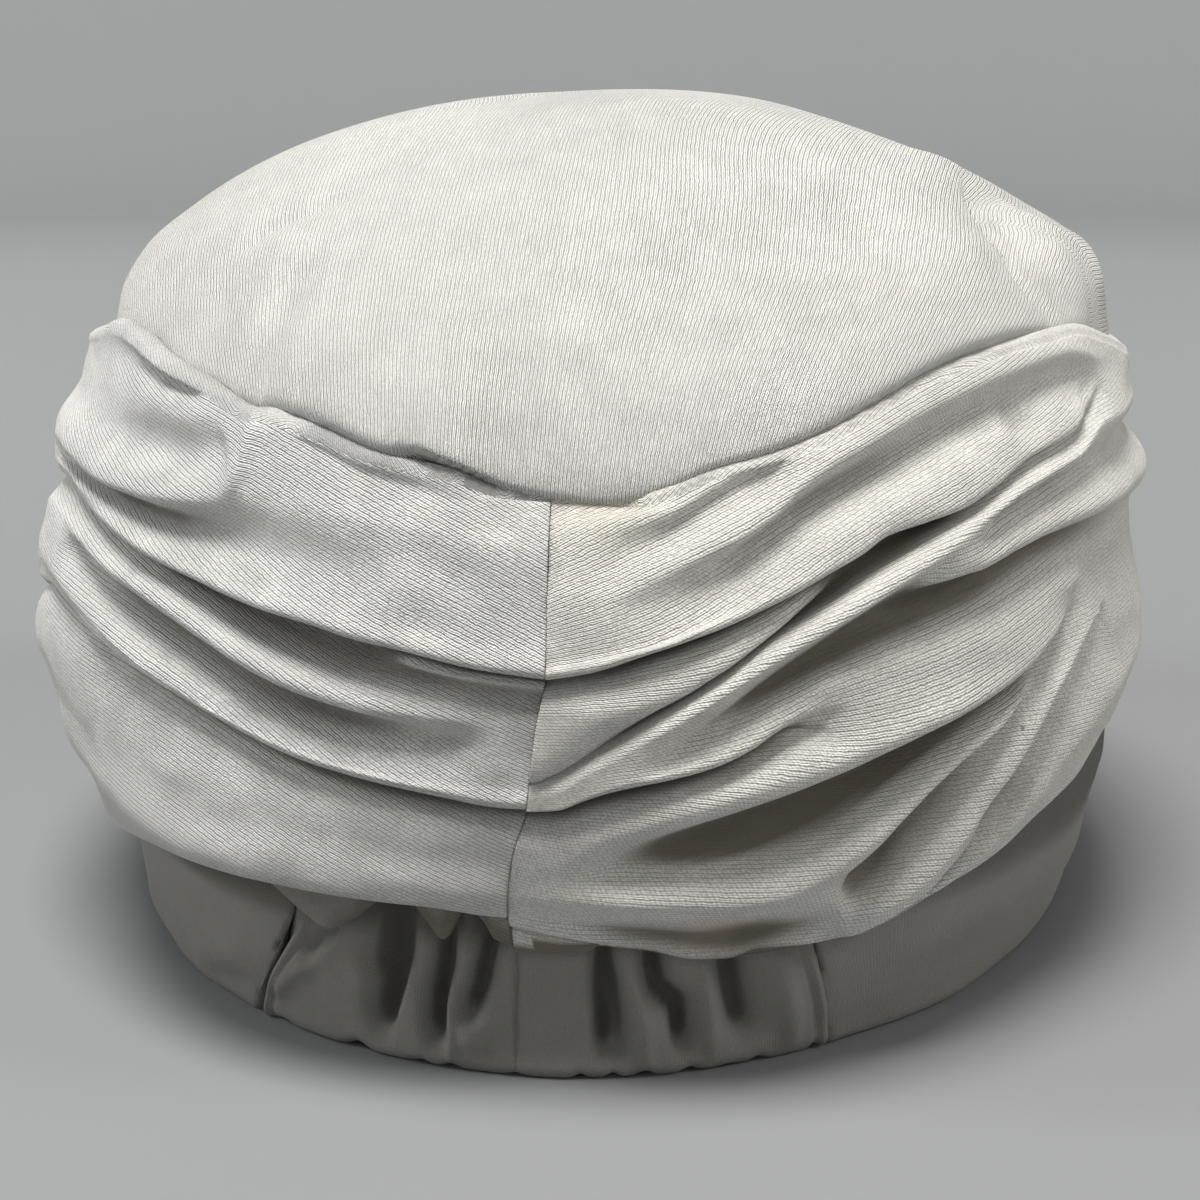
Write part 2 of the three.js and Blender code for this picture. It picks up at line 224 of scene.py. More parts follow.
# A sheet of cloth: a grid whose columns and rows are moved to "points", in millimetres. "weave" gives
# each point its place in the knit, and "fold" the share of painted shade that its colour takes, mostly
# where it lies deep between the folds. Columns and rows that meet are merged, and open ends are closed.
def clothPiece(name, points, weave, fold, body="root"):
    columns, rows = points.shape[:2]
    bm = bmesh.new()
    bmesh.ops.create_grid(bm, x_segments=columns - 1, y_segments=rows - 1, size=1)
    mesh = bpy.data.meshes.new(name)
    bm.to_mesh(mesh)
    bm.free()
    flat = np.zeros(len(mesh.vertices) * 3, np.float32)
    mesh.vertices.foreach_get("co", flat)
    flat = flat.reshape(-1, 3)
    column = np.rint((flat[:, 0] + 1) / 2 * (columns - 1)).astype(int)
    row = np.rint((flat[:, 1] + 1) / 2 * (rows - 1)).astype(int)
    placed = points[column, row] * mm + np.array(seat)
    mesh.vertices.foreach_set("co", placed.astype(np.float32).ravel())
    corner = np.zeros(len(mesh.loops), np.int32)
    mesh.loops.foreach_get("vertex_index", corner)
    layer = mesh.uv_layers.new(name="weave")
    spots = weave[column[corner], row[corner]] / weaveSpan
    layer.data.foreach_set("uv", spots.astype(np.float32).ravel())
    depth = mesh.attributes.new("fold", "FLOAT", "POINT")
    depth.data.foreach_set("value", fold[column, row].astype(np.float32))
    bm = bmesh.new()
    bm.from_mesh(mesh)
    bmesh.ops.remove_doubles(bm, verts=bm.verts, dist=mergeGap)
    openEdges = [edge for edge in bm.edges if edge.is_boundary]
    if openEdges:
        bmesh.ops.holes_fill(bm, edges=openEdges, sides=0)
    bmesh.ops.recalc_face_normals(bm, faces=bm.faces)
    big = [face for face in bm.faces if len(face.verts) > 4]
    bmesh.ops.triangulate(bm, faces=big, ngon_method="EAR_CLIP")
    bm.to_mesh(mesh)
    bm.free()
    mesh.shade_smooth()
    piece = addObject(name, mesh)
    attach(piece, body)
    print(name, len(mesh.vertices), "vertices")
    return piece


# The wrap's folds from its top edge down. A fold is a line of (turn away from the seam, height, how far
# it stands from the wall). "soft" is a rounded ridge or valley, "lip" a rolled edge that hangs over,
# "crease" the sharp valley behind it and "edge" the cloth's own edge.
wrapLeft = {
    "side": -1,
    "tuckedBelow": 29,    # height under which the layer behind the hem takes painted shade
    "wales": ((20, 0.36), (50, 0.52), (100, 0.58)),      # how steeply wales rise off the seam, by height
    "folds": (
        ("crest", "edge", (-1.4, 83.6, -3.4), (3, 84, -2.8), (5, 85, -1.6), (7, 86.2, -0.3), (10, 86.9, 0.5),
         (15, 88.2, 0.9), (19, 89.8, 1), (23, 91, 1.1), (26.5, 91.7, 1.1), (28.5, 91.4, 0.2), (32, 92.5, 0.1),
         (35, 93.8, 0.3), (38, 94.6, 0.4), (45, 96.4, 0.4), (50, 98, 0.2), (56, 98.4, -0.2), (60, 97.2, -0.4),
         (66, 95.4, -0.4), (75, 93.4, -0.2), (90, 92, 0.2), (120, 92, 0.4), (180, 93, 0.4)),
        ("crestDip", "soft", (3, 80.5, -1.2), (6, 82.1, -0.9), (10, 83.7, -0.3), (15, 85.4, 0.1),
         (19, 87.4, 0.4), (24, 89.4, 0.8)),
        ("darkDip", "soft", (33, 92, 0), (37, 92.6, -0.9), (40, 92.8, -1.4), (43, 93.2, -1.2),
         (47, 93.6, -0.6), (53, 93.4, -0.8), (60, 92, -1), (66, 91.2, -0.9), (75, 90.2, -0.8),
         (90, 89.8, -0.7)),
        ("bowlTop", "soft", (26, 89, 0.2), (31, 89.6, 0.3), (36, 89.8, 0.6), (41, 90.4, 0.5), (48, 90.6, 0),
         (56, 90, -0.6)),
        ("bowl", "soft", (27, 86.6, -0.3), (30, 85.6, -0.9), (35, 84.6, -1.3), (40, 84.2, -1.4),
         (45, 84.4, -1.1), (50, 85.2, -0.8), (58, 86.6, -0.6), (75, 86.2, -0.6), (95, 87, -0.6),
         (120, 87, -0.6)),
        ("panelSwell", "soft", (-1.4, 76.6, 0.2), (5, 77.8, 0.6), (10, 78.8, 1), (16, 80, 1.2),
         (22, 81.2, 1.3), (27, 81.4, 1.6), (30, 80.4, 2.3), (35, 79.6, 2.8), (40, 79.2, 2.9), (45, 79.2, 2.7),
         (50, 79.6, 2.4), (60, 80.6, 2.2), (75, 80.2, 1.9), (90, 79.4, 1.6), (120, 78, 1), (180, 76, 0.8)),
        ("browDip", "soft", (10, 72, 0.4), (17, 73, 0), (22, 74, -0.4), (26, 74.6, -0.8), (30, 75.4, -1.2),
         (34, 75.4, -1.4), (38, 75.5, -1.5), (42, 76, -1.6), (47, 76.3, -1.4), (52, 76.7, -1.3),
         (58, 77, -0.9), (68, 76.6, -0.1)),
        ("lipRoll", "soft", (-1.4, 65, 1.2), (5, 66, 1.3), (10, 67.4, 1.5), (15, 68.4, 1.7), (20, 69.4, 1.8),
         (25, 70.2, 1.8), (30, 71.3, 1.8), (35, 72.2, 1.7), (40, 73.2, 1.6), (45, 74.4, 1.5), (50, 75.4, 1.3),
         (60, 76.2, 1), (75, 75, 1.2), (90, 73, 1), (120, 70, 0.8)),
        ("panelLip", "lip", (-1.4, 61.2, 2.3), (5, 62.5, 2.6), (10, 64.1, 2.9), (14, 65, 3), (18, 66.2, 3.1),
         (24, 67.4, 3.1), (27, 68.2, 3.1), (30, 69.2, 3), (35, 70.3, 2.8), (40, 71.3, 2.4), (45, 72.6, 1.9),
         (50, 73.4, 1.2), (55, 74.3, 0.8), (60, 74.6, 0.6), (75, 72.2, 0.6), (90, 69.6, 0.7), (120, 66, 0.7),
         (180, 62, 0.6)),
        ("underPanel", "crease", (-1.4, 60.9, -1.6), (5, 62, -2.2), (10, 63.6, -2.8), (14, 64.6, -3.4),
         (18, 65.6, -4), (24, 66.8, -4.2), (30, 68.6, -3.8), (35, 69.8, -3.4), (40, 70.8, -2.8),
         (45, 72.1, -2.2), (50, 72.9, -1.8), (60, 73.9, -1.6), (75, 71.6, -1.8), (90, 69, -2),
         (120, 65.4, -1.2), (180, 61.4, -1)),
        ("thinRoll", "soft", (-1.4, 60.4, 1.4), (5, 61.4, 1.6), (10, 62.6, 1.2), (14, 63.7, 0)),
        ("thinDip", "soft", (-1.4, 58.5, -0.9), (5, 59.6, -1.3), (10, 60.6, -1.9), (15, 61.2, -2.8),
         (20, 62.6, -3.4), (25, 64.4, -3.4), (30, 66.9, -3), (35, 68.6, -2.6), (40, 70.2, -2)),
        ("secondRoll", "soft", (-1.4, 55.4, 0.8), (3, 55, 1), (7, 55.6, 1.6), (12, 56.2, 2.2),
         (15, 56.8, 2.5), (20, 58.4, 2.8), (25, 60.7, 3), (30, 63.2, 3), (35, 65.4, 2.9), (40, 66.9, 2.6),
         (45, 68.2, 2.3), (50, 69.4, 1.9), (56, 70.3, 1.4), (62, 70.1, 1.1), (75, 67, 1.2), (90, 65, 1.3),
         (120, 61.2, 1), (180, 57.4, 0.8)),
        ("secondDip", "soft", (2, 52.6, 0.4), (5, 52.1, -0.2), (8, 52.2, -0.9), (12, 53, -1.6),
         (15, 53.6, -1.9), (20, 55, -2.3), (25, 57.3, -2.5), (30, 59.9, -2.5), (35, 61.8, -2.4),
         (40, 63.3, -2.1), (45, 64.8, -1.6), (50, 66.5, -1), (56, 68, -0.2)),
        ("thirdRoll", "soft", (-1.4, 46.8, 1.3), (5, 47, 1.5), (10, 47.4, 1.8), (15, 48.3, 2.1),
         (20, 50, 2.5), (25, 51.6, 2.7), (30, 53.6, 2.9), (35, 55.8, 2.9), (40, 57.8, 2.8), (45, 59.8, 2.6),
         (50, 61.4, 2.4), (56, 62.8, 2.1), (62, 62.8, 1.8), (75, 59, 1.3), (90, 56.7, 1), (120, 51.3, 0.9),
         (180, 47.4, 0.8)),
        ("thirdLip", "lip", (-1.4, 43.4, 2), (3, 43.7, 2.3), (7, 44.7, 2.6), (12, 46, 2.9), (18, 47.6, 3),
         (22, 49, 3), (27, 51.2, 3), (30, 52.5, 2.9), (35, 54.3, 2.8), (40, 56, 2.5), (45, 57.3, 2.3),
         (50, 58.9, 1.9), (55, 59.6, 1.7), (60, 59, 1.2), (65, 57.5, 1.1), (70, 55.5, 1), (80, 50.3, 0.9),
         (90, 46.5, 0.8), (120, 42, 0.7), (180, 40, 0.6)),
        ("underThird", "crease", (-1.4, 42.6, -2.2), (5, 43.5, -2.6), (10, 44.8, -2.9), (15, 46, -3),
         (20, 47.5, -2.9), (25, 49.5, -2.7), (30, 51.7, -2.5), (35, 53.5, -2.3), (40, 55.3, -2),
         (45, 56.7, -1.6), (50, 58.4, -1.2), (60, 58.6, -1), (70, 55.1, -1), (80, 49.9, -1), (90, 46.1, -1),
         (120, 41.6, -1), (180, 39.6, -0.8)),
        ("bellyTop", "soft", (-1.4, 39.6, 0.8), (4, 40.2, 1.5), (10, 41.6, 2.1), (15, 42.2, 2.3),
         (20, 42.8, 2.4), (25, 44.4, 2.4), (30, 45.6, 2.3), (40, 47.4, 2), (50, 49, 1.8), (60, 49, 1.8),
         (75, 45.5, 1.5), (90, 43.5, 1.2), (120, 38, 1), (180, 36, 0.8)),
        ("bellyDip", "soft", (2, 35.5, 1), (7, 36.8, 1.9), (12, 36.8, 2.9), (16, 37.4, 3.4), (20, 37.6, 3.9),
         (25, 38, 4.2), (32, 38.6, 4.3)),
        ("bellyLow", "soft", (-2, 30.8, 1.2), (4, 31.2, 2), (10, 31.4, 3.4), (15, 31.4, 4.6), (20, 31.6, 5.5),
         (30, 31.9, 6), (35, 32.4, 5.7), (42, 33.8, 4.6), (50, 36, 3), (60, 37.6, 1.6)),
        ("lowDip", "soft", (48, 31, 0.8), (54, 30.6, 0), (60, 29.4, -0.8), (66, 26.8, -1), (74, 24, -0.6),
         (84, 22, 0)),
        ("hem", "lip", (-2.8, 26.8, 0.6), (2, 27, 1.2), (5, 27.4, 1.8), (7, 28, 2.4), (10, 28.7, 3.4),
         (20, 29.2, 5), (30, 29.3, 5.4), (38, 29, 4.6), (45, 27.4, 3.2), (50, 25.9, 1.8), (55, 24, 0.7),
         (60, 21.8, -0.4), (70, 17.2, -0.6), (80, 14.6, -0.6), (100, 16, -0.6), (130, 20, -0.6),
         (180, 22, -0.6)),
        ("underHem", "crease", (-2.8, 26.6, -2.2), (7, 27.8, -2.2), (20, 28.7, -2), (30, 28.7, -1.9),
         (38, 28.4, -1.9), (45, 27, -1.9), (55, 23.7, -1.9), (60, 21.5, -2), (70, 16.9, -2.2),
         (80, 14.3, -2.2), (100, 15.7, -2.2), (130, 19.7, -2.2), (180, 21.7, -2.2)),
        ("underEdge", "edge", (-2.8, 21, -2), (2, 21.4, -2), (4.6, 22.4, -2), (5.6, 25.4, -2), (7.2, 27, -2),
         (8.3, 24.6, -2), (9.8, 21.6, -2), (11.2, 24.4, -2), (12.4, 27.4, -1.9), (14.4, 27.6, -1.8),
         (17, 25.2, -2), (19, 22.8, -2), (22.6, 20.4, -1.8), (24.4, 21.8, -1.7), (27, 24.6, -1.8),
         (30, 27.4, -1.9), (34, 28, -1.9), (45, 26.6, -1.9), (55, 23.3, -1.9), (60, 21.1, -2),
         (70, 16.5, -2.2), (80, 13.9, -2.2), (100, 15.3, -2.2), (130, 19.3, -2.2), (180, 21.3, -2.2)),
    ),
    "swells": (),
    "strokes": (
        ("step", 1.5, 9, 6, (27.2, 94), (26.6, 89), (26.8, 85), (27.6, 82.4), (29.4, 80)),
    ),
}
wrapRight = {
    "side": 1,
    "tuckedBelow": 22,
    "wales": ((24, -0.3), (37, -0.5), (45, -0.4), (56, 0.0), (64, 0.2), (70, 0.55), (90, 0.6)),
    "folds": (
        ("crest", "edge", (1.4, 84, -3.2), (5, 83.6, -3), (8.5, 83.2, -1.8), (12, 84.6, -0.5),
         (15, 86.3, 0.3), (20, 87.9, 0.8), (25, 90, 1), (30, 92.7, 1), (35, 95.3, 0.8), (40, 96.9, 0.5),
         (50, 98.3, 0.1), (58, 98.5, -0.2), (70, 95, 0.2), (80, 91.6, 0.5), (90, 90, 0.6), (120, 91, 0.4),
         (180, 93, 0.4)),
        ("petal", "soft", (1.4, 78.4, -0.9), (5, 79.6, -0.5), (9, 80.8, 0), (12, 81.9, 0.3), (15, 84.4, 0.5),
         (20, 86.8, 0.8)),
        ("petalDip", "soft", (2.7, 72.8, -0.3), (5.4, 74.5, -0.6), (9, 77.4, -0.9), (11.4, 79, -1.1),
         (15, 82.2, -1), (18, 84.4, -0.6), (21, 86.2, 0), (24, 88.4, 0.7)),
        ("mainRoll", "soft", (1.4, 70.4, 0.8), (5, 71, 1.2), (10, 74.1, 1.8), (12, 75.4, 2.1),
         (15, 77.5, 2.3), (17.5, 79.3, 2.4), (20, 81.4, 2.3), (22, 83.8, 2.3), (25, 86.4, 2.1),
         (30, 89.4, 1.8), (35, 92, 1.5), (45, 95, 1.2), (55, 95.6, 1), (66, 92.2, 1)),
        ("firstDip", "soft", (4, 67, 1.2), (9, 69.6, 0.9), (12.5, 71.8, 0.5), (15, 74, 0), (18, 76.8, -0.7),
         (21.4, 79.6, -1.3), (25, 82, -1.7), (30, 84.4, -2), (35, 86.6, -2.1), (40, 88.6, -2.1),
         (45, 90.2, -2), (50, 91.2, -1.8), (56, 92, -1.1), (64, 91.4, -0.4)),
        ("secondRidge", "soft", (1.4, 63, 1.3), (5, 64, 1.4), (10, 65.6, 1.5), (15, 68.8, 1.8),
         (20, 72.8, 2.3), (25, 76.4, 2.6), (30, 79.4, 2.6), (35, 81.2, 2.4), (40, 83, 2), (45, 85.4, 1.2),
         (50, 87.4, 0.7), (58, 89.4, 0.6)),
        ("panelLip", "lip", (1.4, 61.2, 2.4), (5, 62.2, 2.6), (10, 64.8, 2.9), (15, 67.2, 3.1),
         (20, 70.2, 3.1), (24, 72.8, 3), (27, 74.6, 2.9), (30, 76.7, 2.6), (34, 77.6, 2.4), (38, 78.5, 2.3),
         (42, 80.3, 2), (47.5, 83, 1.9), (55, 84.6, 1.7), (60, 87, 1.2), (65, 89, 0.8)),
        ("underPanel", "crease", (1.4, 61, -2), (5, 62, -2.8), (10, 64.5, -3.2), (15, 66.8, -3.1),
         (20, 69.9, -2.8), (24, 72.4, -3), (27, 74.2, -3.8), (30, 75.8, -4.6), (34, 76.8, -4.4),
         (38, 78, -3.2), (42, 79.9, -2.2), (47.5, 82.6, -1.7), (55, 84.2, -1.3), (60, 86.6, -1),
         (65, 88.6, -0.6)),
        ("fourthRidge", "soft", (1.2, 56.4, 1.7), (5, 56.8, 2.4), (10, 58.8, 2.8), (15, 62.4, 2.7),
         (18, 65.2, 2.1), (20, 67, 1.5), (22, 68.8, 0.5), (24, 70.2, -0.8), (26, 71.5, -2.1),
         (28, 72.7, -3.4), (30, 74, -4.4)),
        ("fourthDip", "crease", (0.3, 47.2, 0.8), (2.5, 48.8, 0), (5, 51.3, -0.9), (8, 54.3, -1.7),
         (10, 56.3, -2.2), (13, 59.1, -2.8), (15, 61, -3), (18, 63.9, -3.2), (20, 65.7, -3.4),
         (25, 69.7, -3.8), (28, 72.1, -4.2), (30, 73.3, -4.4), (35, 76, -4), (40, 78.8, -2.6)),
        ("fifthRidge", "soft", (-0.4, 45.2, 1.8), (2, 46.3, 2.2), (5, 49.3, 2.6), (8, 52.2, 3),
         (10, 54.2, 3.2), (15, 59, 3.4), (20, 63.7, 3.6), (25, 67.5, 3.7), (30, 71, 3.7), (35, 74.1, 3.5),
         (40, 77.2, 3.1), (45, 79.7, 2.7), (50, 81, 2.4), (55, 82, 2.1), (62, 84.8, 1.7), (75, 84.5, 1.3),
         (90, 83.6, 1.1), (120, 81.4, 0.8), (180, 77.4, 0.8)),
        ("forkDip", "soft", (38, 74.6, 1.4), (42, 76.4, 0), (45, 77.6, -0.6), (50, 78.5, -0.9),
         (55, 79, -1.1), (60, 79.4, -1.3), (75, 80, -1.7), (90, 79.6, -2.1), (120, 76, -1), (180, 72, -0.8)),
        ("forkRoll", "soft", (32, 69, 1.8), (36, 70.4, 2.1), (40, 71.4, 2.2), (45, 72.8, 2), (50, 73.5, 2),
         (55, 73.8, 2), (60, 73.8, 1.9), (75, 73.2, 1.6), (90, 72.4, 1.5), (120, 69.2, 1), (180, 65.4, 0.8)),
        ("fifthDip", "soft", (8, 48.8, 1.7), (11, 50.9, 1), (15, 54.6, -0.2), (17, 56.4, -0.9),
         (20, 59, -1.8), (22, 60.5, -2.3), (25, 62.5, -2.9), (30, 65.2, -3.4), (35, 66.8, -3.6),
         (40, 68, -3.6), (45, 69.1, -3.4), (50, 70.1, -2.5), (60, 70.2, -1.8), (75, 68, -1.2), (90, 65.4, -1),
         (120, 60, -0.9), (180, 56, -0.6)),
        ("broadTop", "soft", (12, 50.4, 2.2), (16, 52.4, 2.3), (20, 55.8, 2.2), (25, 58.2, 1.9),
         (30, 59.6, 1.5), (35, 60.2, 1.3), (40, 60.9, 1.2), (45, 61.7, 1), (50, 62.8, 0.8), (55, 64, 0.5),
         (60, 65.4, 0)),
        ("sixthLip", "lip", (-0.5, 43.4, 2), (2, 43.7, 2.3), (4, 45, 2.5), (6, 46.2, 2.8), (8, 47, 3),
         (10, 47.6, 3.1), (13, 48.6, 3.2), (15, 49.5, 3.2), (17.5, 51.2, 3.1), (19.5, 53, 2.9), (21, 54, 2.8),
         (22.5, 54.6, 2.6), (24, 54.9, 2.4), (27, 55, 2.4)),
        ("underSixth", "crease", (-0.5, 42.6, -2.4), (2, 43, -2.7), (5, 44.7, -3), (10, 46.7, -3.1),
         (15, 48.4, -2.9), (18.5, 51, -2.3), (22, 52.8, -1.2), (25, 53, 0), (27, 53.2, 1.2)),
        ("eighthRidge", "soft", (-1.6, 38, 1.3), (2.5, 38.2, 1.7), (5, 39.4, 2.1), (8, 41, 2.6),
         (10, 42.2, 3), (13, 43.6, 3.4), (15, 44.5, 3.6), (20, 46.8, 3.9), (25, 48.8, 4), (30, 50.6, 3.9),
         (35, 52.2, 3.5), (40, 53.4, 2.5), (45, 55.2, 2), (50, 58.4, 1.2), (56, 63, 0.2)),
        ("eighthDip", "soft", (2, 34.4, 0.4), (6, 35, -0.6), (9, 35.8, -1.8), (12, 36.6, -3),
         (15, 37.6, -4.2), (20, 39.5, -5), (25, 42, -5.4), (30, 45.2, -5.4), (35, 48.2, -4.9), (40, 50.2, -4),
         (44, 51.8, -3.2), (48, 54, -2.5), (53, 58, -1.7), (58, 61.6, -1)),
        ("ninthRidge", "soft", (-2.4, 30.6, 1.2), (4, 30.2, 2.2), (8, 30, 3), (12, 29.8, 3.6), (16, 29.6, 4),
         (20, 30.2, 4.2), (24, 32.2, 4.1), (28, 35.3, 3.7), (31, 38.2, 3.3), (35, 42.3, 2.6), (38, 45, 2.2),
         (43, 48.2, 1.5), (46, 51.2, 1), (50, 55.4, 0.2)),
        ("ninthDip", "soft", (24, 26.4, 0), (28, 28.6, -2.4), (30.5, 31.6, -4), (33, 36.2, -4.4),
         (35, 38.6, -4.2), (37, 41, -3.8), (39, 43.2, -3.4), (41, 45.4, -3), (43, 47.4, -2.5), (45, 50, -2),
         (49, 54, -1)),
        ("tenthRidge", "soft", (25, 21.4, 2.2), (28, 23, 2.7), (31, 25.2, 3.2), (35, 29, 3.4),
         (37, 31.8, 3.3), (39, 34.6, 3.2), (41, 37.2, 3), (43, 39.8, 2.8), (45, 42.8, 2.6), (47, 45.8, 2.3),
         (50, 49.8, 1.9), (53, 52.8, 1.5), (58, 57.6, 1), (64, 61, 0.4)),
        ("drapeLip", "lip", (26, 19.6, 1.6), (30, 21, 2), (32, 22.2, 2.3), (34, 23.9, 2.5), (35.5, 25.6, 2.6),
         (37, 27.6, 2.6), (38.5, 29.6, 2.5), (40, 31.9, 2.3), (42, 34.6, 1.9), (44, 36, 1.2)),
        ("tenthDip", "soft", (29, 20.4, -0.4), (32, 21.2, -1.2), (35.5, 24.2, -1.8), (38.5, 28.2, -2.1),
         (41, 32, -2.3), (43, 34.1, -2.5), (46, 36.7, -2.6), (48, 40.8, -2.5), (50, 44.8, -2.3),
         (52, 48, -2.1), (55, 52.2, -1.8), (59, 57.3, -1.3), (64, 60, -0.6)),
        ("lastSwell", "soft", (33, 21.9, 0), (37, 24.4, 0.8), (41, 27.6, 1.2), (45, 31, 1.5), (50, 36, 1.7),
         (55, 40.5, 1.8), (60, 44, 2), (70, 46.6, 1.8), (90, 46.5, 1), (120, 44, 1), (180, 42, 0.9)),
        ("bellyUnder", "soft", (-2.8, 27, -0.4), (4, 25.6, -1.3), (10, 24.2, -1.9), (16, 23, -2.1),
         (20, 23, -1.8), (24, 23, -1), (29, 22.4, -0.1)),
        ("hem", "lip", (-2.8, 25, -0.8), (0, 24, -0.9), (4, 22.8, -1), (7, 21.8, -1.1), (10, 21.1, -1.1),
         (14, 19.3, -1), (17.6, 18.9, -1), (20, 19.8, -1), (25, 19.3, -0.8), (28, 19.6, -0.5),
         (30, 20.2, -0.2), (33, 21.2, 0.1), (38, 23.9, 0.2), (42, 25.1, 0.2), (46, 27, 0.2), (50, 29.6, 0.1),
         (54, 31, 0), (58, 32.2, -0.1), (62, 34.5, -0.3), (66, 36.6, -0.3), (80, 38, -0.4), (100, 34, -0.5),
         (130, 26, -0.6), (180, 22, -0.6)),
        ("underHem", "crease", (-2.8, 24.8, -3), (4, 22.6, -3), (10, 20.9, -3), (17.6, 18.7, -3),
         (25, 19.1, -2.6), (30, 20, -1.9), (38, 23.7, -1.9), (50, 29.4, -1.9), (62, 34.3, -1.9),
         (80, 37.7, -1.9), (100, 33.7, -2), (130, 25.7, -2.1), (180, 21.7, -2.2)),
        ("underEdge", "edge", (-2.8, 20.4, -2.8), (2, 20.2, -2.8), (4.6, 20.8, -2.8), (5.8, 21.9, -2.8),
         (10, 20.6, -2.9), (17.6, 18.4, -2.9), (25, 18.8, -2.6), (30, 19.7, -1.9), (38, 23.4, -1.9),
         (50, 29.1, -1.9), (62, 34, -1.9), (80, 37.4, -1.9), (100, 33.4, -2), (130, 25.4, -2.1),
         (180, 21.4, -2.2)),
    ),
    "swells": (
        (48, 87, 5, 2.2, 0, -1.6), (44.6, 87.5, 2.4, 3.4, 60, 1), (60, 88.6, 4, 1.2, 25, -0.8),
    ),
    "strokes": (),
}
cloth = {
    "foldFade": 5,        # degrees over which a fold rises and dies away
    "fromSeam": 1.5,      # a fold that starts within these degrees comes out of the centre back seam
    "wayRound": 179,      # and one that goes on past these reaches the centre front
    "lipRound": 1.1,
    "edgeRise": 1.4,      # height taken by the rolled top edge
    "hemDrop": 0.4,       # height taken by the rolled hem
    "creaseIn": (0.1, -1),      # the way the cloth runs into a crease: up, out
    "creaseOut": (-0.45, 0.9),
    "leastDrop": 0.15,    # the least height between one fold and the next
    "leastStep": 0.05,
    "layerGap": 0.6,
    "seamRound": 0.35,    # how the cloth turns in at the centre seams
    "seamTurn": 0.98,
    "leanZ": (24, 28, 33, 37, 40, 43.3, 50, 54, 58, 61.2, 82.3),
    "lean": (-2.9, -2.7, -2.3, -1.8, -1.2, -0.6, 0, 0.3, 0.8, 1.2, 1.4),
    "leanReach": 30,
    "leanRounds": 4,
    "restRounds": 600,    # rounds in which folds that aren't there settle between their neighbours
    "rowLength": 1.0,
    "rowsBy": 80,         # percentage of the columns whose rows come out no longer than that
    "rowsPerFold": (3, 9),
    "pull": (3, 0.5),     # rows that go nearly straight in bend less, so that they don't loop
    "insideRows": 12,
    "rollRows": 5,
    "seamTurns": (0, 0.03, 0.07, 0.13, 0.21, 0.32),      # columns beside a seam, and the gap before them
    "seamGap": 0.012,
    "nearTurns": (0.55, 84, 0.42),      # columns further on: from, to, step
    "farTurns": (84.4, 179.2, 1.25),
    "degree": 1.85,       # millimetres of wall for one degree near the back
    "wrinkles": ((24, 7, 0.6), (10, 4, 0.22)),
    "hemWrinkle": 0.35,   # share of the wrinkles that the hem keeps, and the height over which they grow
    "hemFlat": 5,
    "shadeAbove": 0.25,   # how fast a ridge loses its cover for the painted shade with height, above and below a place
    "shadeBelow": 0.9,
    "firstShade": 1.4,    # millimetres of cover at which a place begins to take painted shade, and takes it fully
    "fullShade": 3.8,
    "tucked": (1.3, 1.9),       # how far in from the wall the layer behind the hem takes painted shade
    "tuckedShade": 1.25,
    "fitRounds": 40,      # rounds in which the knit settles on the folded cloth
    "fitLimits": (0.15, 6),     # least and greatest weight of a step between neighbours
    "measuredAt": 60,     # height at which the columns' widths are taken
    "waleFade": ((0, 1), (12, 0.92), (22, 0.75), (35, 0.45), (50, 0.3), (90, 0.1), (180, 0)),
}


def seamLean(heights, away):
    return curveAt(cloth["leanZ"], cloth["lean"], heights) * (1 - smooth(away, 0, cloth["leanReach"]))


def heading(dz, dout):
    length = np.hypot(dz, dout)
    return dz / length, dout / length


